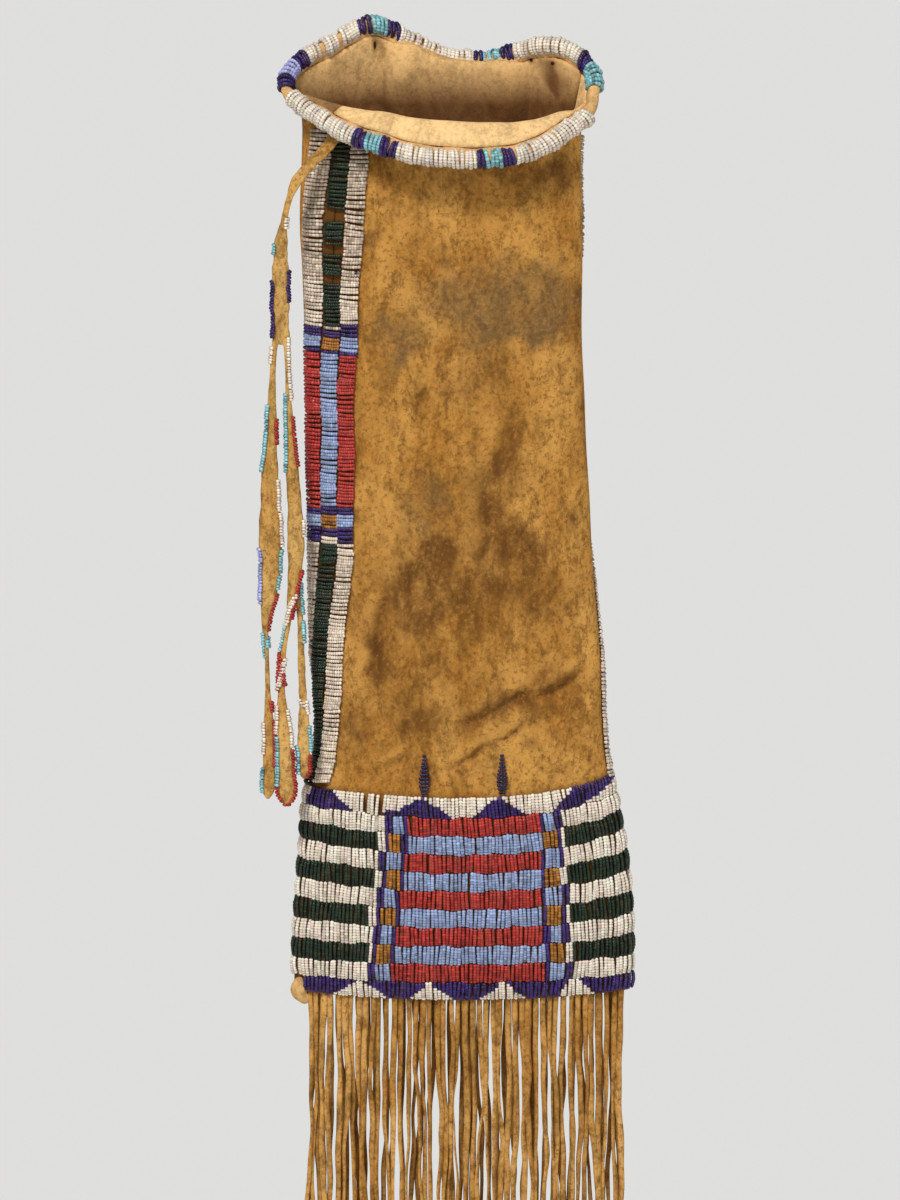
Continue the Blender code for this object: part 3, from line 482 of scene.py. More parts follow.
hide = hide_material("smoked_hide", holes=HOLES)
fringe_hide = hide_material("fringe_hide", FRINGE_GROUND, FRINGE_LIGHT)
print("hide nodes:", len(hide.node_tree.nodes))


# %% [markdown]
# Every grid of points becomes a mesh the same way: vertices and faces are written as whole arrays. A string
# of beads is one closed tube, so thousands of tubes with equal counts can be one mesh. The straps and the
# rolled corner are such tubes too.

# %% Meshes from arrays
def write_mesh(name, points, faces, material, corner_colour=None, values=None):
    """Object at the origin from points in millimetres and an array or list of faces with equal counts."""
    faces = [np.asarray(block, np.int32) for block in faces]
    sizes = np.concatenate([np.full(len(block), block.shape[1]) for block in faces])
    loops = np.concatenate([block.ravel() for block in faces])
    mesh = bpy.data.meshes.new(name)
    mesh.vertices.add(len(points))
    mesh.vertices.foreach_set("co", (np.asarray(points) * MM).astype(np.float32).ravel())
    mesh.loops.add(len(loops))
    mesh.loops.foreach_set("vertex_index", loops)
    mesh.polygons.add(len(sizes))
    mesh.polygons.foreach_set("loop_start", np.concatenate(([0], np.cumsum(sizes)[:-1])).astype(np.int32))
    mesh.update(calc_edges=True)
    if corner_colour is not None:
        layer = mesh.color_attributes.new("bead_colour", "FLOAT_COLOR", "CORNER")
        colours = np.repeat(corner_colour, sizes, axis=0)
        solid = np.column_stack((colours, np.ones(len(colours)))).astype(np.float32)
        layer.data.foreach_set("color", solid.ravel())
    for key, array in (values or {}).items():
        mesh.attributes.new(key, "FLOAT", "POINT").data.foreach_set("value", np.asarray(array, np.float32))
    mesh.materials.append(material)
    mesh.shade_smooth()
    made = bpy.data.objects.new(name, mesh)
    bpy.context.scene.collection.objects.link(made)
    print(name, "triangles", int((sizes - 2).sum()))
    return made


def tube_faces(tubes, rings, sides):
    """Quads between the rings of closed tubes, and their caps, for points numbered tube, ring and side."""
    index = np.arange(tubes * rings * sides).reshape(tubes, rings, sides)
    after = np.roll(index, -1, axis=2)
    quads = np.stack((index[:, :-1], after[:, :-1], after[:, 1:], index[:, 1:]), axis=-1).reshape(-1, 4)
    return [quads, np.concatenate((index[:, 0, ::-1], index[:, -1]))]


def circle(angle, first, second, stretch=1.0):
    """Directions stretch * cos a * first + sin a * second, for every place and every angle."""
    return (np.cos(angle) * stretch)[:, None] * first[:, None] + np.sin(angle)[:, None] * second[:, None]


def slab(name, outer, inner, material, values=None):
    """Closed sheet between two grids of points, with a rim of faces round its edge."""
    rows, cols = outer.shape[:2]
    index = np.arange(rows * cols).reshape(rows, cols)
    under = index + rows * cols
    top = np.stack((index[:-1, :-1], index[:-1, 1:], index[1:, 1:], index[1:, :-1]), axis=-1)
    bottom = np.stack((under[:-1, :-1], under[1:, :-1], under[1:, 1:], under[:-1, 1:]), axis=-1)
    edge = np.concatenate((index[0], index[1:, -1], index[-1, -2::-1], index[-2:0:-1, 0]))
    after = np.roll(edge, -1)
    side = np.stack((after, edge, edge + rows * cols, after + rows * cols), axis=-1)
    points = np.concatenate((outer.reshape(-1, 3), inner.reshape(-1, 3)))
    faces = np.concatenate((top.reshape(-1, 4), bottom.reshape(-1, 4), side))
    return write_mesh(name, points, [faces], material, values=values)


# %% [markdown]
# The hide itself is two sheets, sewn under the strips. Wrinkles are added to the skin as soft ridges along
# lines that fan across the front, and as a slow swell. The wall lies between an outer and an inner grid.
# Soft patches say where the hide is stained, greyed or rubbed pale; one stain patch is a painted shadow under
# the roll, and the creases carry painted shade in their troughs and a painted highlight on their shoulders.

# %% Hide sheets
# Creases: start x and z, end x and z, depth and half width, in millimetres
CREASES = ((-8, -341, 20, -326, 1.3, 2.2), (14, -329, 40, -314, 1.2, 2.0), (2, -317, 44, -299, 1.5, 3.4),
           (38, -303, 70, -289, 1.6, 3.0), (-43, -296, -29, -250, 1.3, 3.6), (-34, -252, 8, -222, 0.9, 5.0),
           (30, -232, 46, -222, 0.8, 2.4), (-44, -342, -18, -330, 0.9, 2.6), (48, -345, 66, -332, 0.9, 2.6),
           (14, -236, 30, -160, 0.7, 6.0), (-40, -120, -10, -60, 0.6, 7.0), (26, -70, 58, -98, 0.7, 5.0))
# Patches on the front: x and z of the middle, half width and half height, strength
STAIN_AND_SHADOW_PATCHES = ((8, -240, 48, 34, 0.30), (-26, -285, 26, 46, 0.28), (30, -305, 34, 22, 0.22),
          (16, -139, 20, 10, 0.55), (-16, -150, 4.5, 5.5, 0.9), (30, -176, 8, 20, 0.7),
          (17, -206, 9, 20, 0.6), (36, -226, 16, 9, 0.85), (-9, -229, 12, 9, 0.95),
          (-21, -243, 15, 10, 0.8), (-14, -258, 19, 9, 0.8), (12, -249, 20, 15, 0.6),
          (42, -249, 15, 13, 0.45), (-36, -286, 6, 20, 0.65), (-22, -311, 7, 9, 0.7),
          (26, -306, 20, 5, 0.65), (58, -297, 14, 6, 0.6), (-50, -319, 7, 16, 0.7), (-6, -316, 15, 7, 0.4),
          # The wide band at x 20, z -34, just under the roll, is a painted shadow cast by the roll
          (45, -325, 4, 3, 0.6), (52, -38, 12, 9, 0.8), (20, -34, 40, 7, 0.5), (-38, -70, 5, 8, 0.5),
          (38, -225, 3, 12, 0.4), (60, -215, 2.2, 2.2, 0.9), (63, -228, 1.8, 1.8, 0.9),
          (-29, -236, 1.6, 2, 0.9), (-52, -200, 4, 60, 0.35), (62, -255, 4, 40, 0.25),
          (8, -338, 10, 3, 0.4), (10, -120, 14, 18, 0.35))
GREYS = ((24, -101, 28, 20, 0.9), (54, -106, 11, 12, 0.9), (39, -86, 11, 9, 0.8), (-25, -119, 11, 12, 0.85),
         (-2, -85, 6, 7, 0.7), (32, -116, 16, 5, 0.8), (-12, -203, 13, 14, 0.6), (-4, -100, 12, 10, 0.5))
# The same inside the mouth, on the rear
INSIDE_MARKS = ((50, 5, 5, 14, 0.7), (57, -2, 7, 14, 0.7), (-20, 6, 14, 4, 0.35), (8, 4, 20, 5, 0.4),
                (-55, 6, 10, 8, 0.4), (46, 20, 2, 8, 0.5), (-38, 24, 3, 6, 0.5))
PALES = ((-4, -273, 6, 3.5, 0.9), (47, -288, 18, 5, 0.9), (-35, -215, 9, 15, 0.7), (-29, -237, 9, 6, 0.8),
         (52, -131, 12, 6, 0.9), (58, -79, 6, 5, 0.9), (-40, -140, 12, 10, 0.5), (10, -60, 40, 10, 0.4),
         (20, -155, 10, 12, 0.5), (52, -170, 12, 20, 0.5), (30, -320, 24, 5, 0.5), (-2, -312, 8, 4, 0.5),
         (-39, -165, 12, 18, 0.5), (-40, -262, 7, 14, 0.5))
# Factors on the depth of all creases and on the strength of all patches
CREASE_GAIN, PATCH_GAIN = 1.7, 1.12


def crease_height(points):
    """Sum over the creases of -depth * exp(-(distance / half width)^2), with a raised shoulder."""
    x, z = points[..., 0], points[..., 2]
    total = np.zeros_like(x)
    for x0, z0, x1, z1, depth, width in CREASES:
        way = np.array((x1 - x0, z1 - z0), float)
        length = np.hypot(*way)
        way /= length
        s = (x - x0) * way[0] + (z - z0) * way[1]
        d = -(x - x0) * way[1] + (z - z0) * way[0] + 2.0 * np.sin(s / 9.0)
        fade = np.clip(s / 8, 0, 1) * np.clip((length - s) / 8, 0, 1)
        shoulder = 0.8 * np.exp(-((d - 1.3 * width) / width) ** 2)
        total += CREASE_GAIN * depth * fade * (shoulder - np.exp(-(d / width) ** 2))
    return total


def patches(points, table):
    """Sum of strength * exp(-q^1.4), q the squared distance to a middle in half sizes, on wavy places."""
    x, z = points[..., 0], points[..., 2]
    wavy_x = x + 3.5 * np.sin(z / 6.1 + 1.7 * np.sin(x / 9)) + 1.8 * np.sin(z / 2.7 + x / 3.9)
    wavy_z = z + 3.5 * np.sin(x / 5.3 + 1.4 * np.sin(z / 8)) + 1.8 * np.sin(x / 2.4 - z / 4.3)
    total = np.zeros_like(x)
    for at_x, at_z, half_x, half_z, strength in table:
        q = ((wavy_x - at_x) / half_x) ** 2 + ((wavy_z - at_z) / half_z) ** 2
        total += PATCH_GAIN * strength * np.exp(-q**1.4)
    return np.clip(total, 0, 1)


def swell(points):
    """Slow rise and fall of soft hide: a sum of long sine waves across and up the bag."""
    x, z = points[..., 0], points[..., 2]
    return (0.5 * np.sin(x / 17 + z / 41) + 0.4 * np.sin(z / 23 - x / 31 + 1)
            + 0.25 * np.sin(x / 7.5 - z / 19) + 0.18 * np.sin(z / 8.3 + x / 13 + 2))


PANEL_ROWS, OPEN_ROWS, LIP_ROWS, HIDE_COLUMNS = 20, 98, 44, 104
# The hide ends a little below the last lane line
HIDE_END = LAST_LANE + 1 + 0.6 / BOTTOM_LANE
hide_levels = np.concatenate((np.linspace(0, 1, PANEL_ROWS)[:-1], 1 + np.linspace(0, 1, OPEN_ROWS)[:-1],
                              2 + np.linspace(0, 1, LIP_ROWS)))


def level_height(u):
    """Rows up the hide: lane lines through the panel, then heights to the neck, then the rise to the rim."""
    rows = []
    for level, places in zip(hide_levels, u):
        if level < 1:
            rows.append(lane_line(HIDE_END * (1 - level), places))
        elif level < 2:
            low = lane_line(0.0, places)
            rows.append(low + (NECK_H - low) * (level - 1))
        else:
            rows.append(np.full(len(places), NECK_H + (RIM_H - NECK_H) * (level - 2)))
    return np.array(rows)


SEAM_OPENING = 0.5
# The rear's marks are the front's, mirrored and moved by this much, and its creases are this much lower
REAR_SHIFT, REAR_CREASES = (12, 0, 31), 0.6
# How much of the rear's inner face is as pale as flesh side
REAR_FLESH = 0.62


def build_hide(name, front):
    """One sheet from seam to seam, wrinkled where no beads cover it."""
    rough = np.interp(hide_levels, (0, 1, 2, 3), (-462, PANEL_TOP, NECK_H, RIM_H))
    left, right = seam(rough)
    gap = SEAM_OPENING / 2 / FULL_GIRTH
    starts, ends = (left + gap, right - gap) if front else (right + gap, 1 + left - gap)
    u = starts[:, None] + (ends - starts)[:, None] * np.linspace(0, 1, HIDE_COLUMNS)[None, :]
    h = level_height(u)
    outer = skin(u, h)
    normal = skin_normal(u, h)
    free = np.clip((h - PANEL_TOP - 8) / 12, 0, 1) * np.clip((-30 - h) / 25, 0, 1)
    # The hide under the panel and under the strips is painted dark: painted shade that shows in the gaps
    # between the bead strings
    under_panel = np.clip((lane_line(0.0, u) + 0.5 - h) / 1.5, 0, 1)
    dirt = under_panel * np.clip((h - lane_line(LAST_LANE + 1.0, u)) / 2 + 1, 0, 1)
    for home in strip_middles(h):
        away = np.abs((u - home + 0.5) % 1.0 - 0.5)
        free = free * np.clip((away - strip_half(h)) / 0.03, 0, 1)
        under_strip = np.clip((strip_half(h) - away) / 0.003, 0, 1)
        dirt = np.maximum(dirt, under_strip * (h < STRIP_TOP_H) * (h > PANEL_TOP))
    place = outer if front else outer * (-1, 1, 1) + REAR_SHIFT
    creases = crease_height(place)
    lift = free * (swell(outer) + (creases if front else REAR_CREASES * creases))
    outer = outer + lift[..., None] * normal
    inner = outer - HIDE_THICKNESS * normal
    # The flesh side shows from the roll's edge inward. Further down the inside the inner face is painted
    # darker, as painted shade in the bag's hollow; on the rear the stains inside the mouth are added to it
    edge = np.clip((h - (RIM_H - 3)) / 3, 0, 1)
    inside_shade_and_stains = np.clip((-38 - h) / 16, 0, 1)
    if not front:
        marks = patches(inner, INSIDE_MARKS) * (h > NECK_H)
        inside_shade_and_stains = np.maximum(np.clip((14 - inner[..., 2]) / 20, 0, 1), marks)
    none = np.zeros_like(h)
    values = {"flesh": (edge, none + (1.0 if front else REAR_FLESH)), "deep": (none, inside_shade_and_stains),
              "dirt": (dirt, none)}
    # The crease troughs are painted darker, as painted shade, and their raised shoulders paler, as a painted
    # highlight
    crease_shade_and_highlight = {"stain": np.clip(-0.30 * creases * free, 0, 0.6), "grey": 0.0,
             "pale": np.clip(0.9 * creases * free, 0, 1)}
    for key, table in (("stain", STAIN_AND_SHADOW_PATCHES), ("grey", GREYS), ("pale", PALES)):
        values[key] = (np.clip(patches(place, table) + crease_shade_and_highlight[key], 0, 1) * np.clip(1 - dirt, 0, 1), none)
    return slab(name, outer, inner, hide, {key: np.concatenate([side.ravel() for side in both])
                                           for key, both in values.items()})


front_sheet = build_hide("front_hide_sheet", True)
back_sheet = build_hide("back_hide_sheet", False)
# Each half was cut as a panel with slanting sides; the number with each sheet is its area, which nothing
# reads
for piece, node, cut_area in ((front_sheet, "front_hide", 0.0731), (back_sheet, "back_hide", 0.0751)):
    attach(piece, "root")
    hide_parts(node)

# %% [markdown]
# Seed beads are short lengths of drawn glass tube, tumbled until their ends are round. Sewn in strings they
# read as ribs with a notch between beads. Each bead here is three rings of a five-sided tube: the notch, and
# two full rings. Colour sits on the faces, so it changes cleanly from bead to bead. White beads come in three
# ages: white, cream on the lower strips and aged on the upper ones. Ink is a nearly black purple.

# %% Bead colours and material
# Colour, and how much single beads differ from it
BEADS = {
    "white": ((0.84, 0.72, 0.59), 0.11), "purple": ((0.036, 0.016, 0.110), 0.35),
    "turquoise": ((0.25, 0.52, 0.56), 0.24), "blue": ((0.29, 0.36, 0.55), 0.16),
    "periwinkle": ((0.40, 0.42, 0.70), 0.18), "red": ((0.42, 0.034, 0.027), 0.20),
    "green": ((0.010, 0.023, 0.011), 0.30), "amber": ((0.36, 0.140, 0.020), 0.26),
    "aged": ((0.56, 0.44, 0.33), 0.24), "cream": ((0.72, 0.59, 0.46), 0.16),
    "ink": ((0.020, 0.010, 0.050), 0.30)}
BEAD_NAMES = list(BEADS)
BEAD_TABLE = np.array([colour for colour, _ in BEADS.values()])
SPREAD_TABLE = np.array([spread for _, spread in BEADS.values()])
# How much the mean of whole strings differs, and how much single beads differ in tint
STRING_SPREAD, TINT_SPREAD = 0.09, 0.03
# The darkest and palest that a bead may come out
TONE_RANGE = (0.004, 0.92)
GRIME = (0.22, 0.14, 0.07)
random = np.random.default_rng(7)


def bead(name):
    """Number of a bead colour."""
    return BEAD_NAMES.index(name)


def bead_material():
    """Opaque glass: the colour the mesh carries, with painted shade by the notches, a thin grime in patches
    and a glassy surface.
    """
    made, shader, point = start_material("seed_bead_glass", 0.24, 0.32)
    colour = point.node("ShaderNodeAttribute", {"attribute_name": "bead_colour"})
    dust = point.noise(140.0, 4.0, 0.7).between(0.45, 0.80) * 0.22
    feed(shader, "Base Color", dust.mix(colour, GRIME))
    feed(shader, "Roughness", 0.20 + point.noise(700.0, 2.0) * 0.18)
    return made


bead_glass = bead_material()

# %% [markdown]
# A string is given by the path of its centre, the direction out of the hide and the radius. From these the
# rings follow: centre + radius * (cos a * aside + sin a * outward).

# %% Bead strings
RING_PLACES = np.array((0.0, 0.22, 0.78))
RING_SIZES = np.array((0.72, 1.0, 1.0))
# The faces by a notch are darkened: painted shade in the groove between beads, and the thread and dirt there
NOTCH_SHADE_AND_DIRT = np.array((0.78, 1.0, 0.78))
BEAD_SIZE_SPREAD = 0.055
RING_ANGLES = np.radians((-38, 28, 90, 152, 218))


def ring_shares(beads):
    """Share along a string of each ring, and that ring's size."""
    place = (np.arange(beads)[:, None] + RING_PLACES[None, :]).ravel() / beads
    return np.append(place, 1.0), np.append(np.tile(RING_SIZES, beads), RING_SIZES[0])


def strings_mesh(name, centre, outward, radius, colours):
    """Closed tubes along centre (strings, rings, 3): radius is (strings, 1), colours (strings, beads)."""
    strings, rings = centre.shape[:2]
    beads = colours.shape[1]
    sides = len(RING_ANGLES)
    _, size = ring_shares(beads)
    ahead = unit(np.gradient(centre, axis=1), 1e-9)
    aside = unit(np.cross(ahead, outward), 1e-9)
    above = np.cross(aside, ahead)
    uneven = 1 + random.normal(0, BEAD_SIZE_SPREAD, (strings, beads, 1)) * (0, 1, 1)
    uneven = np.concatenate((uneven.reshape(strings, -1), np.ones((strings, 1))), axis=1)
    r = (radius * size[None, :] * uneven)[..., None, None]
    points = centre[:, :, None] + r * (np.cos(RING_ANGLES)[:, None] * aside[:, :, None]
                                       + np.sin(RING_ANGLES)[:, None] * above[:, :, None])
    grown = random.normal(0, 1, colours.shape + (1,)) * SPREAD_TABLE[colours][..., None]
    tint = random.normal(0, TINT_SPREAD, colours.shape + (3,))
    tint = tint + random.normal(0, STRING_SPREAD, (strings, 1, 1))
    tone = np.clip(BEAD_TABLE[colours] * (1 + grown + tint), *TONE_RANGE)
    shaded = tone[:, :, None] * NOTCH_SHADE_AND_DIRT[:, None]
    walls = np.repeat(shaded.reshape(strings, -1, 3), sides, axis=1).reshape(-1, 3)
    return write_mesh(name, points.reshape(-1, 3), tube_faces(strings, rings, sides), bead_glass,
                      np.concatenate((walls, tone[:, 0], tone[:, -1])))


# How far a string stands off the hide at its two stitches and at its middle, and how much strings differ
STITCH_OUT, CREST_OUT, OUT_SPREAD = 0.75, 1.75, 0.07


def laid_strings(name, foot, head, beads, radius, colours, keep=None, crest=CREST_OUT):
    """Strings from foot (u, h) to head (u, h): out = stitch + (crest - stitch) * sin(pi t)^0.7."""
    if keep is not None:
        foot, head, colours = foot[keep], head[keep], colours[keep]
        radius = radius[keep] if np.ndim(radius) else radius
    share, _ = ring_shares(beads)
    place = foot[:, None] + (head - foot)[:, None] * share[None, :, None]
    out = STITCH_OUT + (crest - STITCH_OUT) * np.sin(np.pi * share)[None, :] ** 0.7
    out = out * (1 + random.normal(0, OUT_SPREAD, (len(foot), 1)))
    u, h = place[..., 0], place[..., 1]
    normal = skin_normal(u, h)
    centre = skin(u, h) + out[..., None] * normal
    radius = np.broadcast_to(np.reshape(radius, (-1, 1)), (len(foot), 1))
    return strings_mesh(name, centre, normal, radius, colours)


# %% [markdown]
# The panel: eleven lanes of upright strings, seven beads each. For every string we only decide its two ends
# and the colour of each of its beads. The bars and squares depend on where the string stands, and the
# triangles of the top and bottom lanes on the bead's height as well.

# %% Panel strings
STRING_PITCH = 1.9
# A bead's radius as a share of the pitch
STRING_FILL = 0.515
BEADS_UP = 7
LANE_INSET = 0.30
# Between which shares of a column its square lies; the rest of the column is purple
SQUARE_FIELD = (0.30, 0.84)
# Between which shares beside a column a green lane turns white
WHITE_FIELD = (-0.12, 0.17)


def lane_places():
    """Places round the bag of a lane's strings, evenly spaced with a little wander."""
    count = int(FULL_GIRTH / STRING_PITCH)
    return (np.arange(count) + 0.5 + random.normal(0, 0.10, count)) / count


def stitched_line(line, u):
    """Height of a sewn lane line: the drawn line with a small wave, the same for the lanes on both sides."""
    long_wave, short_wave = 11 * u + 0.37 * line, 26 * u + 0.71 * line**2
    wave = 0.42 * np.sin(2 * np.pi * long_wave) + 0.34 * np.sin(2 * np.pi * short_wave)
    return lane_line(line, u) + wave * (0 < line < LAST_LANE + 1)


def bar_colours(lane, u):
    """Colours of a bar lane's strings: centre, squares and sides, by place round the bag."""
    odd = lane % 2 == 1
    names = np.full(len(u), bead("white" if odd else "green"))
    for rear in (False, True):
        left, right = (column_span(lane + 0.5, column, rear) for column in (LEFT_COLUMN, RIGHT_COLUMN))
        inner = (left[1], right[0]) if not rear else (right[1], left[0])
        names[(u > inner[0]) & (u < inner[1])] = bead("red" if odd else "blue")
        for span, outer_first in ((left, not rear), (right, rear)):
            s = (u - span[0]) / (span[1] - span[0])
            s = s if outer_first else 1 - s
            inside = (s > 0) & (s < 1)
            names[inside] = bead("purple")
            names[inside & (s > SQUARE_FIELD[0]) & (s < SQUARE_FIELD[1])] = bead("blue" if odd else "amber")
            if not odd:
                names[(s > WHITE_FIELD[0]) & (s < WHITE_FIELD[1])] = bead("white")
    return np.repeat(names[:, None], BEADS_UP, axis=1)


# Figures: left and right edge at the lane's base, then at its top, as places round the bag
TOP_FIGURES = ((0.010, 0.085, 0.018, 0.046), (0.128, 0.153, 0.175, 0.125), (0.140, 0.238, 0.1925, 0.1925),
               (0.265, 0.347, 0.311, 0.311), (0.392, 0.440, 0.430, 0.515), (0.575, 0.645, 0.61, 0.61),
               (0.655, 0.725, 0.69, 0.69), (0.735, 0.815, 0.775, 0.775), (0.83, 0.91, 0.87, 0.87),
               (0.93, 0.965, 0.925, 0.972))
BOTTOM_FIGURES = ((0.060, 0.140, 0.100, 0.105), (0.171, 0.235, 0.202, 0.204), (0.275, 0.343, 0.309, 0.311),
                  (0.392, 0.442, 0.406, 0.420), (0.515, 0.575, 0.545, 0.545), (0.62, 0.68, 0.65, 0.65),
                  (0.72, 0.78, 0.75, 0.75), (0.82, 0.88, 0.85, 0.85), (0.92, 0.98, 0.95, 0.95))
# Where the top lane has lost its strings
LOST_STRINGS = ((0.101, 0.107), (0.121, 0.129))


def figure_colours(u, ground, figure, figures):
    """Bead i of a string is in a figure where u lies between its edges, each a straight line up the lane."""
    level = (np.arange(BEADS_UP) + 0.5) / BEADS_UP
    names = np.full((len(u), BEADS_UP), bead(ground))
    for low_left, low_right, high_left, high_right in figures:
        left = low_left + (high_left - low_left) * level[None, :]
        right = low_right + (high_right - low_right) * level[None, :]
        names[(u[:, None] > left - 0.001) & (u[:, None] < right + 0.001)] = bead(figure)
    return names


# How much the ends of strings wander off their line, and how far bundles and single strings slant
END_SPREAD, BUNDLE_SLANT, SLANT_SPREAD = 0.16, 0.0014, 0.0008
# The bottom lane has no beads between the second of these places and the first
LEFT_CORNER_BARE = (0.016, 0.992)


def build_lane(lane):
    """One lane of strings right round the bag."""
    u = lane_places()
    bundle = np.sin(2 * np.pi * (9 * u + 0.29 * lane))
    slant = BUNDLE_SLANT * bundle + random.normal(0, SLANT_SPREAD, len(u))
    low = stitched_line(lane + 1.0, u) + LANE_INSET + random.normal(0, END_SPREAD, len(u))
    high = stitched_line(float(lane), u) - LANE_INSET + random.normal(0, END_SPREAD, len(u))
    foot, head = np.stack((u, low), axis=1), np.stack((u + slant, high), axis=1)
    keep = np.ones(len(u), bool)
    if lane == 0:
        colours = figure_colours(u, "white", "purple", TOP_FIGURES)
        for low, high in LOST_STRINGS:
            keep &= ~((u > low) & (u < high))
    elif lane == LAST_LANE:
        colours = figure_colours(u, "purple", "white", BOTTOM_FIGURES)
        keep &= (u > LEFT_CORNER_BARE[0]) & (u < LEFT_CORNER_BARE[1])
    else:
        colours = bar_colours(lane, u)
    radius = STRING_PITCH * STRING_FILL * (1 + random.normal(0, 0.05, len(u)))
    return laid_strings(f"lane_{lane}_strings", foot, head, BEADS_UP, radius, colours, keep)


bar_parts = ("bar_centre", "bar_left", "bar_right")
shared_nodes = ["column_front_left", "column_front_right", "column_back_left", "column_back_right",
                "panel_back_centre"]
for lane in range(BAR_LANES + 2):
    strings = build_lane(lane)
    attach(strings, "root")
    if lane == 0:
        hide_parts("lane_top")
    elif lane == LAST_LANE:
        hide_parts("lane_bottom")
    else:
        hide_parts(*[f"{part}_{lane}" for part in bar_parts])
        if lane == 1:
            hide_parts(*shared_nodes)

# %% [markdown]
# The side strips have three lanes whose strings lie across, so the rows stack up the seam. Rows are spaced by
# true length: we walk up the seam, add up the distance and look the heights up from it.

# %% Side strips
ROW_PITCH, ROW_FILL = 1.83, 0.50
BEADS_ACROSS = 7
# Upper height of each band and its three colours, outer lane first
STRIP_BANDS = (
    (-222.9, ("cream", "green", "cream")), (-220.6, ("purple", "cream", "purple")),
    (-216.0, ("purple", "purple", "purple")),
    (-208.6, ("blue", "amber", "blue")), (-205.5, ("purple", "purple", "purple")),
    (-127.8, ("red", "blue", "red")), (-125.3, ("purple", "purple", "purple")),
    (-117.0, ("blue", "amber", "blue")), (-113.6, ("purple", "purple", "purple")),
    (-111.5, ("purple", "aged", "purple")), (-90.0, ("cream", "green", "cream")),
    (0.0, ("aged", "green", "aged")))
# The outer lane of a strip reaches a little farther round the bag's side than the others
OUTER_REACH = 1.16
# How far a row stays inside its lane at either end, as a share of the way round
ROW_INSET = 0.0010
# Heights at which the middle lane has lost its beads
BARE_ROWS = ((-64.0, -60.0), (-76.5, -72.0), (-91.0, -87.0))


def row_heights(side, low):
    """Heights at equal distances along the seam."""
    h = np.linspace(low, STRIP_TOP_H, 900)
    length = walked(skin(strip_middles(h)[side], h))
    return np.interp(np.arange(0, length[-1], ROW_PITCH), length, h)


def build_strip(name, side):
    """Three lanes of cross strings over one seam."""
    low = float(lane_line(0.0, (0.0, 0.53)[side])) + 1.2
    heights = row_heights(side, low)
    feet, heads, colours, keep = [], [], [], []
    for lane in range(3):
        wave = 0.5 * np.sin(heights / 5.3 + 2 * lane) + 0.4 * np.sin(heights / 2.9 + lane)
        h = heights + wave + random.normal(0, END_SPREAD, len(heights))
        middle = strip_middles(h)[side] + 0.0016 * np.sin(heights / 9.0 + 1.3 * lane)
        half = strip_half(h)
        first = OUTER_REACH if (side, lane) == (0, 0) else 1
        last = OUTER_REACH if (side, lane) == (1, 2) else 1
        start = middle + half * (-1 + 2 * lane / 3) * first + ROW_INSET
        end = middle + half * (-1 + 2 * (lane + 1) / 3) * last - ROW_INSET
        start, end = (edge + random.normal(0, 0.0007, len(h)) for edge in (start, end))
        feet.append(np.stack((start, h), axis=1))
        heads.append(np.stack((end, h + 0.5 * wave + random.normal(0, 0.20, len(h))), axis=1))
        names = [next(band[lane] for top, band in STRIP_BANDS if value < top) for value in heights]
        colours.append(np.repeat(np.array([bead(n) for n in names])[:, None], BEADS_ACROSS, axis=1))
        bare = np.zeros(len(h), bool)
        if (side, lane) == (0, 1):
            for bottom, top in BARE_ROWS:
                bare |= (heights > bottom) & (heights < top)
        keep.append(~bare)
    radius = ROW_PITCH * ROW_FILL * (1 + random.normal(0, 0.06, 3 * len(heights)))
    return laid_strings(name, np.concatenate(feet), np.concatenate(heads), BEADS_ACROSS, radius,
                        np.concatenate(colours), np.concatenate(keep))


for side, node in enumerate(("strip_left", "strip_right")):
    strip = build_strip(f"{node}_strings", side)
    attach(strip, "root")
    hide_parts(node)

# %% [markdown]
# The mouth's cut edge is bound by wraps of beads, side by side like a coil. Each wrap is most of a circle
# round the rim's centre line and leans a little, as it does when one thread goes on from wrap to wrap.

# %% Rim
WRAP_PITCH, WRAP_FILL = 2.1, 0.54
WRAP_BEADS = 16
WRAP_ARC = np.radians(330)
# How far a wrap leans, as a share of the way round, and how much single wraps differ
WRAP_LEAN, LEAN_SPREAD = 0.0035, 0.0018
# How far wraps stand out beyond the roll, how much more a bundle does and how much single wraps differ
WRAP_OUT, BUNDLE_OUT, WRAP_SPREAD = 0.15, 0.26, 0.22
# Ends round the bag and bead colour of each stretch of wraps; None is a bare stretch
RIM_COLOURS = (
    (0.014, 0.1295, "white"), (0.1295, 0.1435, "purple"), (0.1435, 0.168, "turquoise"),
    (0.168, 0.187, "purple"), (0.187, 0.292, "white"), (0.292, 0.306, "purple"),
    (0.306, 0.327, "turquoise"), (0.327, 0.34, "purple"), (0.34, 0.464, "white"), (0.464, 0.509, None),
    (0.509, 0.54, "turquoise"), (0.54, 0.555, "purple"), (0.555, 0.652, "white"),
    (0.652, 0.667, "purple"), (0.667, 0.692, "turquoise"), (0.692, 0.706, "purple"),
    (0.706, 0.812, "white"), (0.812, 0.827, "purple"), (0.827, 0.85, "turquoise"),
    (0.85, 0.868, "purple"), (0.868, 0.89, "white"), (0.89, 0.897, None), (0.897, 0.918, "white"),
    (0.918, 0.926, None), (0.926, 0.948, "white"), (0.948, 0.96, "purple"), (0.96, 0.982, "periwinkle"),
    (0.982, 0.998, "purple"))


def rim_sides(u):
    """Two directions square to the rim's centre line: to the hide's edge, and across that."""
    ahead = unit(rim(u + 0.002) - rim(u - 0.002))
    edge = unit(skin(u, np.full(len(u), RIM_H)) - rim(u))
    return edge, np.cross(ahead, edge)


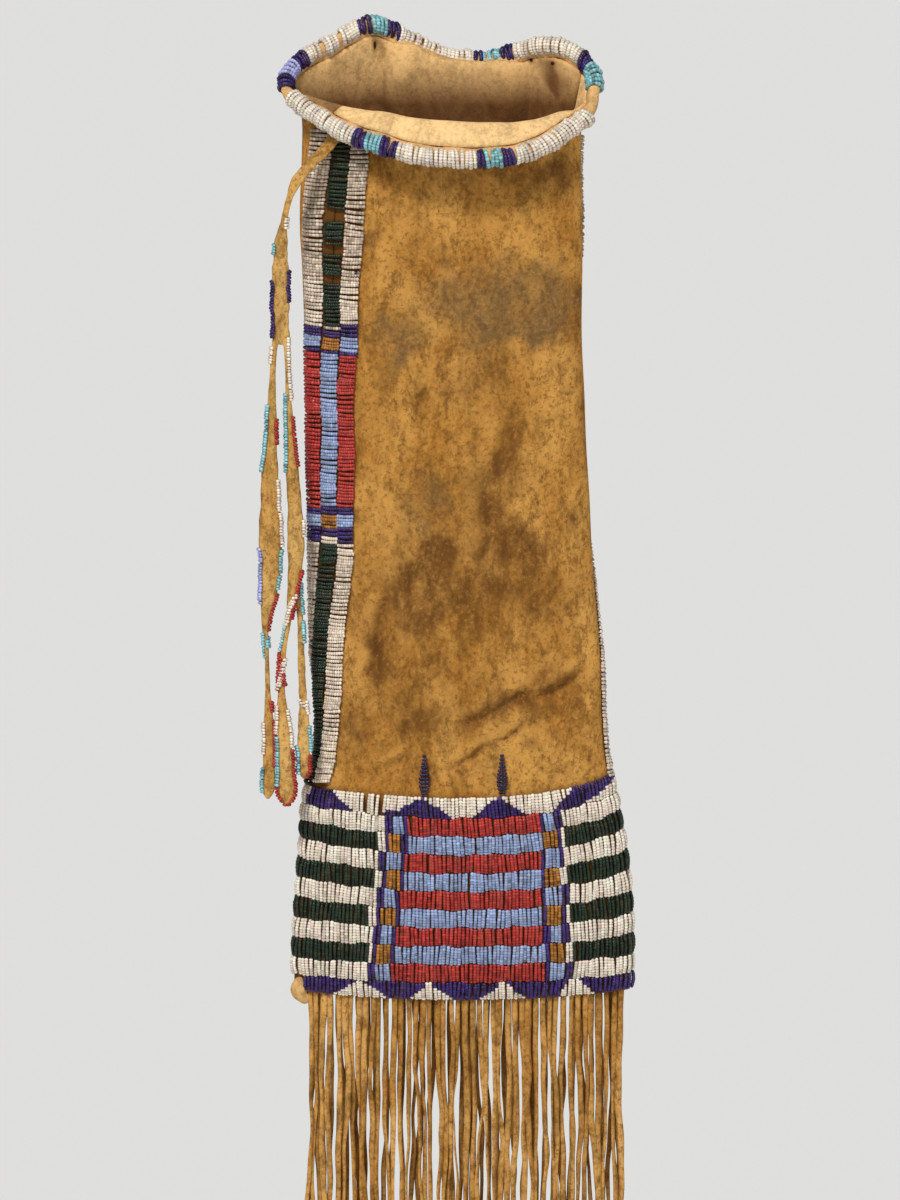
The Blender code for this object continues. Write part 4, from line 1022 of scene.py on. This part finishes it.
def build_rim():
    """Wraps: centre + R (cos a * inward + sin a * up), a from one side of the hide's edge to the other."""
    fine = np.linspace(0, 1, 2001)
    length = walked(rim(fine))
    u = np.interp(np.arange(0.5, length[-1] / WRAP_PITCH) * WRAP_PITCH, length, fine)
    colour = np.full(len(u), -1)
    for start, end, name in RIM_COLOURS:
        if name:
            colour[(u >= start) & (u < end)] = bead(name)
    u, colour = u[colour >= 0], colour[colour >= 0]
    share, _ = ring_shares(WRAP_BEADS)
    angle = np.pi + (share - 0.5) * WRAP_ARC
    # Wraps lean and stand out in bundles, as threads pull them together
    bundle = np.sin(2 * np.pi * 31 * u) + 0.6 * np.sin(2 * np.pi * 53 * u + 1)
    lean = WRAP_LEAN * (1 + 0.9 * bundle) + random.normal(0, LEAN_SPREAD, len(u))
    where = u[:, None] + lean[:, None] * (share - 0.5)[None, :]
    way = circle(angle, *rim_sides(u))
    radius = WRAP_PITCH * WRAP_FILL * (1 + random.normal(0, 0.06, len(u)))
    reach = RIM_RADIUS - radius + WRAP_OUT + BUNDLE_OUT * bundle + random.normal(0, WRAP_SPREAD, len(u))
    sag = 1 + 0.10 * np.sin(angle) * np.sin(2 * np.pi * 17 * u)[:, None]
    centre = rim(where) + (reach[:, None] * sag)[..., None] * way
    colours = np.repeat(colour[:, None], WRAP_BEADS, axis=1)
    return strings_mesh("rim_wraps", centre, way, radius[:, None], colours)


rim_wraps = build_rim()
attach(rim_wraps, "root")
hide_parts(*[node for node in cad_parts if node.startswith("rim_")])

# %% [markdown]
# Under the wraps the hide's edge is rolled. Where wraps are lost, that roll shows, so it is a piece as well.

# %% Rolled edge under the wraps
ROLL_RADIUS = RIM_RADIUS - 2.0


def build_roll():
    """Closed tube round the rim's centre line: centre + r (stretch * cos a * inward + sin a * up)."""
    u = np.linspace(0, 1, 241)[:-1]
    angle = np.linspace(0, 2 * np.pi, 13)[:-1]
    radius = ROLL_RADIUS + 0.25 * np.sin(40 * np.pi * u)
    # The section is drawn out to a lip where the hide comes in
    stretch = 1 + 1.6 * np.clip(np.cos(angle), 0, 1) ** 3
    points = rim(u)[:, None] + radius[:, None, None] * circle(angle, *rim_sides(u), stretch)
    index = np.arange(points[..., 0].size).reshape(points.shape[:2])
    after = np.roll(index, -1, axis=0)
    quads = np.stack((index, after, np.roll(after, -1, axis=1), np.roll(index, -1, axis=1)), axis=-1)
    return write_mesh("rim_roll", points.reshape(-1, 3), [quads.reshape(-1, 4)], hide,
                      values={"flesh": np.full(index.size, 0.6)})


rim_roll = build_roll()
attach(rim_roll, "root")

# %% [markdown]
# Two small bead feathers stand on the panel. Their rows of beads lie across and grow, then shrink to a tip.

# %% Feathers
FEATHERS = (("feather_left", -12.8), ("feather_right", 26.0))
FEATHER_HEIGHT = 21.0
FEATHER_ROWS = 11
FEATHER_SHAPE = ((0.0, 1.2), (0.12, 2.0), (0.35, 2.7), (0.6, 1.9), (0.85, 1.0), (1.0, 0.6))


def build_feather(node, x):
    """Cross rows whose half widths follow the spindle's outline."""
    level = (np.arange(FEATHER_ROWS) + 0.5) / FEATHER_ROWS
    half = smooth_curve(level, FEATHER_SHAPE)[:, 0]
    h = float(lane_line(0.0, u_at_x(x, PANEL_TOP))) + 0.8 + FEATHER_HEIGHT * level
    foot = np.stack((u_at_x(x - half, h), h), axis=1)
    head = np.stack((u_at_x(x + half, h), h + 0.15), axis=1)
    colours = np.full((FEATHER_ROWS, 3), bead("ink"))
    return laid_strings(f"{node}_rows", foot, head, 3, 0.80, colours, crest=1.1)


for node, x in FEATHERS:
    feather = build_feather(node, x)
    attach(feather, "root")
    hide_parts(node)

# %% [markdown]
# The fringe hangs in two layers, one from the front and one from the rear, cut into narrow strips that curl
# and twist as they dry. Each strip is a flat six-sided section, carried down a gently wandering path while it
# turns about it.

# %% Fringe
FRINGE_LEFT, FRINGE_RIGHT = -72.0, 87.0
FRONT_STRIPS, BACK_STRIPS = 45, 34
FRINGE_TOP, FRINGE_LENGTH = -461.0, 300.0
FRINGE_STEPS = 62
# How far a strip reaches up inside the wall, and its half thickness as a share of its half width
FRINGE_RISE, STRIP_THICK = 1.8, 0.42
STRIP_SECTION = ((-1, 0), (-0.6, -1), (0.6, -1), (1, 0), (0.6, 1), (-0.6, 1))
# Least and greatest half width and curl of a strip, and how far the two layers come together below the wall
STRIP_WIDTHS, STRIP_CURLS, GATHER = (1.20, 1.80), (0.4, 1.5), 0.55
# The rear layer is painted browner: painted shade where it hangs behind the front layer
REAR_LAYER_SHADE, BROWN_SPREAD = 0.45, 0.30


def build_fringe():
    """Section (half width w, half thickness t) turned by b: x +- w cos b, y +- w sin b, down the path."""
    count = FRONT_STRIPS + BACK_STRIPS
    layer = np.concatenate((np.full(FRONT_STRIPS, -1.0), np.full(BACK_STRIPS, 1.0)))[:, None]
    number = np.concatenate([(np.arange(strips) + 0.5) / strips for strips in (FRONT_STRIPS, BACK_STRIPS)])
    x0 = FRINGE_LEFT + (FRINGE_RIGHT - FRINGE_LEFT) * number + random.normal(0, 0.35, count)
    share = np.linspace(0, 1, FRINGE_STEPS)[None, :]
    seed = random.uniform(0, 2 * np.pi, (8, count, 1))
    grow = np.clip(share * 7, 0, 1)
    drift = random.normal(0, 1, (2, count, 1))
    curl = random.uniform(*STRIP_CURLS, (count, 1))
    sway = grow * curl * (1.2 * np.sin(9 * share + seed[0]) + 0.50 * np.sin(29 * share + seed[1])
                          + 0.20 * np.sin(67 * share + seed[6])) + 1.5 * drift[0] * share * grow
    deep_sway = np.sin(7 * share + seed[2]) + 0.5 * np.sin(19 * share + seed[3]) + 0.7 * drift[1]
    turn = 0.5 * np.sin(5 * share + seed[4]) + 0.5 * curl * np.sin(17 * share + seed[5]) + 0.4 * drift[0]
    deep_sway, turn = grow * deep_sway, grow * turn
    wave = 1 + 0.10 * np.sin(23 * share + seed[3]) + 0.07 * np.sin(71 * share + seed[7])
    width = random.uniform(*STRIP_WIDTHS, (count, 1)) * wave * (1 - 0.12 * share)
    thick = width * STRIP_THICK
    # The strips are cut from the sheets' lower edges, so each starts inside the wall of its own side
    u = np.where(layer[:, 0] < 0, u_at_x(x0, -458.0), u_at_x(x0, -458.0, rear=True))
    top = lane_line(LAST_LANE + 1.0, u) + FRINGE_RISE
    wall = skin(u, top)[:, 1] - layer[:, 0] * HIDE_THICKNESS / 2
    y = wall[:, None] * (1 - GATHER * np.clip(share * 3, 0, 1)) + deep_sway
    length = FRINGE_LENGTH + (top - FRINGE_TOP)[:, None] + random.uniform(-9, 0, (count, 1))
    z = top[:, None] - length * share
    x = x0[:, None] + sway
    c, s = np.cos(turn), np.sin(turn)
    points = np.stack([np.stack((x + across * width * c - deep * thick * s,
                                 y + across * width * s + deep * thick * c, z), axis=-1)
                       for across, deep in STRIP_SECTION], axis=2)
    index = np.arange(points[..., 0].size).reshape(points.shape[:3])
    after = np.roll(index, -1, axis=2)
    quads = np.stack((index[:, :-1], index[:, 1:], after[:, 1:], after[:, :-1]), axis=-1).reshape(-1, 4)
    caps = np.concatenate((index[:, 0], index[:, -1, ::-1]))
    # Painted shade darkens the rear layer, and each strip gets its own random brown tone
    tone = (layer > 0) * REAR_LAYER_SHADE + random.uniform(0, BROWN_SPREAD, (count, 1))
    tone = np.broadcast_to(tone, x.shape)
    return write_mesh("fringe_strips", points.reshape(-1, 3), [quads, caps], fringe_hide,
                      values={"stain": np.repeat(tone.ravel(), len(STRIP_SECTION))})


fringe = build_fringe()
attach(fringe, "root")
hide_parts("fringe")

# %% [markdown]
# At the lower left corner the last beads are gone, and the end of the hide shows as a small rolled lump.

# %% Rolled corner
# Length along the lump's path, then x, y and z
CORNER_ROUTE = ((0.0, -73.0, 0.5, -447.5), (5.0, -75.2, -1.0, -452.0), (10.0, -75.0, -1.5, -457.0),
                (15.0, -71.0, -1.5, -461.5))
CORNER_HALF = 4.0


def build_corner():
    """Rings round a short path: radius = half * sqrt(1 - (2 t - 1)^2), with a fold of 0.12 sin(3 a + 9 t)."""
    t = np.linspace(0, 1, 25)
    centre = smooth_curve(CORNER_ROUTE[-1][0] * t, CORNER_ROUTE)
    ahead = unit(np.gradient(centre, axis=0))
    aside = np.cross(ahead, (0.0, 1.0, 0.0))
    angle = np.linspace(0, 2 * np.pi, 25)[:-1]
    radius = CORNER_HALF * np.sqrt(np.clip(1 - (2 * t - 1) ** 2, 0.01, 1))
    fold = 1 + 0.12 * np.sin(3 * angle[None, :] + 9 * t[:, None])
    way = circle(angle, aside, np.cross(aside, ahead))
    points = centre[:, None] + (radius[:, None] * fold)[..., None] * way
    return write_mesh("corner_roll", points.reshape(-1, 3), tube_faces(1, len(t), len(angle)), hide,
                      values={"flesh": np.full(len(t) * len(angle), 0.55)})


corner = build_corner()
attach(corner, "root")

# %% [markdown]
# The ties are straps cut from the same hide, narrow where they twist and widened to leaves. Short strings of
# beads are sewn along their edges.

# %% Thongs
THONG_THICKNESS = 1.8
# The stem's root under the lip: place round the bag, height, distance off the hide and half width
THONG_ROOT = ((0.078, -26.0, 1.3, 4.2), (0.076, -31.0, 3.6, 4.2), (0.068, -37.0, 6.0, 4.0))
# Each strap, from its top down: x, y, z, half width and turn in degrees
THONGS = {
    "thong_stem": ((-77.5, -26, -39, 3.0, 30), (-80.5, -26, -47, 1.9, 40), (-82.5, -25, -56, 1.8, 30),
                   (-84, -23.5, -66, 3.0, 15), (-84.5, -22, -80, 3.9, 5), (-84.5, -21, -100, 4.2, 0),
                   (-84.2, -20, -121, 4.0, 0)),
    "thong_left": ((-86.2, -20, -114, 1.7, 0), (-87.8, -19.5, -125, 1.4, 0), (-88.6, -19, -140, 1.7, 0),
                   (-89.2, -19, -165, 2.7, 0), (-90, -19, -190, 4.2, 5), (-89.8, -19, -214, 5.4, 0),
                   (-89.8, -19, -238, 5.1, 0), (-91, -19, -252, 3.6, 0), (-92.2, -19, -265, 1.9, 0),
                   (-91.6, -19, -278, 1.1, 30), (-91, -19, -300, 1.6, 20), (-90.5, -19, -318, 2.6, 0),
                   (-90.6, -19, -336, 3.1, 0), (-91, -19, -353, 3.1, 0)),
    "thong_right": ((-82.4, -20, -114, 1.7, 0), (-81.6, -20, -125, 1.1, 0), (-81.0, -19, -140, 1.2, 0),
                    (-80.2, -19, -160, 1.9, 0), (-78.8, -19.5, -185, 3.0, 0), (-77.2, -20, -210, 3.9, 0),
                    (-77.4, -20, -236, 3.7, 0), (-79, -20, -249, 2.3, 10), (-80.6, -20, -262, 1.5, 25),
                    (-83.6, -20, -280, 1.6, 20), (-84.2, -20, -298, 2.0, 10), (-83.4, -20, -314, 3.2, 0),
                    (-82.3, -20, -335, 4.2, 0), (-81.6, -20, -356, 4.2, 0)),
    "thong_short": ((-76.6, -17.4, -240, 1.8, 0), (-74.8, -17.4, -262, 1.5, 0), (-74.2, -17.4, -285, 1.8, 0),
                    (-73.4, -17.6, -305, 2.0, 0), (-73.0, -17.8, -322, 3.2, 0), (-73.0, -17.8, -343, 2.7, 0)),
}
# Length of the rounded end of each strap
END_ROUND = {"thong_stem": 0.5, "thong_left": 4.0, "thong_right": 5.0, "thong_short": 3.5}
THONG_GROUND, THONG_LIGHT = (0.56, 0.29, 0.072), (0.72, 0.43, 0.135)
thong_hide = hide_material("thong_hide", THONG_GROUND, THONG_LIGHT)


def thong_route(name):
    """Rows down a strap: length so far, centre, half width, and the x and y of the way aside."""
    x, y, z, half, turn = np.array(THONGS[name], float).T
    angle = np.radians(turn)
    rows = np.column_stack((x, y, z, half, np.cos(angle), -np.sin(angle)))
    if name == "thong_stem":
        u, h, out, root_half = np.array(THONG_ROOT).T
        normal = skin_normal(u, h)
        normal[:, 2] = 0
        aside = np.cross((0, 0, 1), unit(normal))
        rows = np.concatenate((np.column_stack((cover(u, h, out), root_half, aside[:, :2])), rows))
    return np.column_stack((walked(rows[:, :3]), rows))


def strap_at(route, share, end_round):
    """Centre, half width, aside and facing; the half width falls as the root of what is left to the end."""
    row = smooth_curve(share * route[-1, 0], route)
    left = (1 - share) * route[-1, 0]
    cut = 1 + 0.06 * np.sin(share * 47) + 0.04 * np.sin(share * 113)
    half = row[:, 3] * (np.sqrt(np.clip(left / end_round, 0.05, 1)) * cut)
    aside = unit(np.column_stack((row[:, 4:6], np.zeros(len(row)))))
    ahead = unit(np.gradient(row[:, :3], axis=0))
    return row[:, :3], half, aside, unit(np.cross(ahead, aside))


# The strap's section: half widths across and half thicknesses deep, round a flat lens
LENS_ACROSS = np.array((-1, -0.8, -0.3, 0.3, 0.8, 1, 0.8, 0.3, -0.3, -0.8))
LENS_DEEP = np.array((0, 0.7, 1, 1, 0.7, 0, -0.7, -1, -1, -0.7)) * THONG_THICKNESS / 2
STRAP_STEPS = 110


def build_thong(name):
    """Lens section carried along the strap, turned to its facing."""
    # The steps grow closer towards the rounded end
    share = 1 - (1 - np.linspace(0, 1, STRAP_STEPS)) ** 1.3
    centre, half, aside, facing = strap_at(thong_route(name), share, END_ROUND[name])
    points = centre[:, None] + half[:, None, None] * LENS_ACROSS[None, :, None] * aside[:, None] + (
        LENS_DEEP[None, :, None] * facing[:, None])
    return write_mesh(f"{name}_strap", points.reshape(-1, 3), tube_faces(1, STRAP_STEPS, len(LENS_ACROSS)),
                      thong_hide)


straps = {name: build_thong(name) for name in THONGS}
for name, strap in straps.items():
    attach(strap, "root")
    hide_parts(name)

# %% [markdown]
# Edge beads: short strings sewn over the strap's edge, one row of wraps side by side. A stretch is given by
# its heights, the edge it is on and its colour.

# %% Beads on the thongs
# For each strap: edge at the upper and at the lower end (-1 left, 1 right), upper and lower height, colour
THONG_BEADS = {
    "thong_stem": ((-1, -1, -88, -118, "purple"), (1, 1, -83, -99, "purple"), (1, 1, -55, -61, "white"),
        (-1, -1, -69, -75, "turquoise")),
    "thong_left": ((-1, -1, -122, -131, "white"), (-1, -1, -152, -186, "turquoise"),
        (1, 1, -159, -172, "red"), (1, 1, -190, -224, "white"), (-1, -1, -225, -253, "periwinkle"),
        (1, 1, -226, -238, "turquoise"), (1, 1, -239, -246, "turquoise"), (1, 1, -248, -268, "red"),
        (-1, -1, -268, -282, "turquoise"), (1, 1, -270, -276, "turquoise"), (1, 1, -303, -309, "red"),
        (-1, -1, -314, -330, "white"), (1, 1, -313, -337, "red"), (-1, -1, -337, -351, "turquoise")),
    "thong_right": ((1, 1, -117, -150, "white"), (-1, -1, -146, -186, "turquoise"),
        (1, 1, -158, -184, "red"), (1, 1, -210, -219, "white"), (1, 1, -236, -262, "red"),
        (1, -1, -248, -266, "white"), (-1, -1, -264, -277, "turquoise"), (-1, -1, -278, -297, "red"),
        (-1, 1, -279, -296, "red"), (1, -1, -281, -297, "white"), (-1, -1, -305, -320, "white"),
        (1, 1, -307, -326, "white"), (-1, -1, -321, -346, "turquoise"), (1, 1, -328, -346, "red"),
        (-1, -1, -346, -357.5, "red"), (1, 1, -346, -357.5, "red")),
    "thong_short": ((1, 1, -243, -259, "turquoise"), (1, 1, -262, -274, "turquoise"),
        (-1, 1, -302, -308, "white"), (1, 1, -303, -311, "white"), (1, 1, -316, -330, "turquoise"),
        (-1, -1, -326, -341, "turquoise"), (1, 1, -331, -343, "red"))}
# Beads in a short string, pitch of the strings, radius of a bead and how far its centre stands off the edge
EDGE_BEADS, EDGE_PITCH, EDGE_RADIUS, EDGE_OUT = 3, 1.5, 0.76, 1.15
EDGE_ARC = np.radians(220)


def build_edge_beads(strap_name, entries):
    """Short strings about a line on the strap: an arc round its edge, or over its face where it crosses."""
    route = thong_route(strap_name)
    fine = np.linspace(0, 1, 900)
    centre = strap_at(route, fine, END_ROUND[strap_name])[0]
    share, _ = ring_shares(EDGE_BEADS)
    angle = (share - 0.5) * EDGE_ARC
    centres, outs, names = [], [], []
    for upper, lower, top, bottom, colour in entries:
        rows = np.arange(-top + EDGE_PITCH / 2, -bottom, EDGE_PITCH)
        rows = rows + random.normal(0, 0.12, len(rows))
        at = np.interp(rows, -centre[:, 2], fine)
        # Two short steps before the first row keep the direction of the strap known for a single row
        lead = np.concatenate((at[0] - np.array((0.008, 0.004)), at))
        middle, width, across, facing = (part[2:] for part in strap_at(route, lead, END_ROUND[strap_name]))
        side = np.linspace(upper, lower, len(rows))[:, None]
        # Out of the face where the line crosses it, and out of the edge at the two sides
        face = -np.sign(facing[:, 1:2]) * facing * np.sqrt(np.clip(1 - side**2, 0, 1))
        out = unit(side * across + face)
        line = middle + side * np.clip(width - 0.5, 0.1, None)[:, None] * across + 0.5 * face
        way = circle(angle, out, np.cross(out, np.cross(across, facing)))
        centres.append(line[:, None] + EDGE_OUT * way)
        outs.append(way)
        names.append(np.full((len(rows), EDGE_BEADS), bead(colour)))
    centres, outs, names = (np.concatenate(group) for group in (centres, outs, names))
    radius = EDGE_RADIUS * (1 + random.normal(0, 0.10, (len(centres), 1)))
    return strings_mesh(f"{strap_name}_beads", centres, outs, radius, names)


# Each strap hangs free. Its edge beads are built and its length along the centre line is printed; a path of
# points along that line is worked out, but nothing uses it
for name, strap in straps.items():
    edging = build_edge_beads(name, THONG_BEADS[name])
    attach(edging, "root")
    route = thong_route(name)
    path = strap_at(route, np.linspace(0, 1, 60), END_ROUND[name])[0] * MM
    print(name, "strap length", round(float(route[-1, 0]), 1), "mm")

# %% [markdown]
# The stage: a wide pale floor well below the fringe, a pale sky and two soft lamps. The key comes from the
# upper left, as in the photograph, and a weak fill opens the shadows. Sun lamps light the whole floor evenly,
# and no wall stands behind the bag, so it can be looked at from all sides.

# %% Stage and lamps
def plain_material(name, colour):
    """Matt paint in one plain colour."""
    made, shader, _ = start_material(name, 0.9, 0.1)
    shader.inputs["Base Color"].default_value = (*colour, 1)
    return made


FLOOR_Z, FLOOR_HALF, FLOOR_COLOUR = -0.80, 14.0, (0.80, 0.79, 0.77)
floor_mesh = bpy.data.meshes.new("floor")
corners = [(x * FLOOR_HALF, y * FLOOR_HALF, FLOOR_Z) for x, y in ((-1, -1), (1, -1), (1, 1), (-1, 1))]
floor_mesh.from_pydata(corners, [], [(0, 1, 2, 3)])
floor_mesh.materials.append(plain_material("pale_floor", FLOOR_COLOUR))
floor = bpy.data.objects.new("floor", floor_mesh)
bpy.context.scene.collection.objects.link(floor)


def lamp(name, way, softness, strength):
    """Sun lamp that shines along a direction; softness is how wide it looks, in degrees."""
    data = bpy.data.lights.new(name, "SUN")
    data.angle, data.energy = np.radians(softness), strength
    made = bpy.data.objects.new(name, data)
    dip, turn = np.arctan2(np.hypot(way[0], way[1]), -way[2]), np.arctan2(way[1], way[0]) - np.pi / 2
    made.rotation_euler = (dip, 0, turn)
    bpy.context.scene.collection.objects.link(made)


# Name, way the light goes, softness and strength
LAMPS = (("key", (0.70, 1.50, -1.98), 12, 2.45), ("fill", (-1.60, 1.80, -0.35), 40, 0.55))
for settings in LAMPS:
    lamp(*settings)
# The world lights the bag softly, and where the camera looks past the floor it is as pale as the floor
SKY_COLOUR, SKY_LIGHT, SKY_SEEN = (0.9, 0.92, 0.95), 0.34, 0.76
world = bpy.data.worlds.new("studio")
world.use_nodes = True
sky = world.node_tree.nodes["Background"]
sky.inputs["Color"].default_value = (*SKY_COLOUR, 1)
seen = world.node_tree.nodes.new("ShaderNodeLightPath")
is_seen = Socket(world.node_tree, seen.outputs["Is Camera Ray"])
strength = SKY_LIGHT + is_seen * (SKY_SEEN - SKY_LIGHT)
world.node_tree.links.new(strength.socket, sky.inputs["Strength"])
bpy.context.scene.world = world
bpy.context.scene.view_settings.view_transform = "Standard"
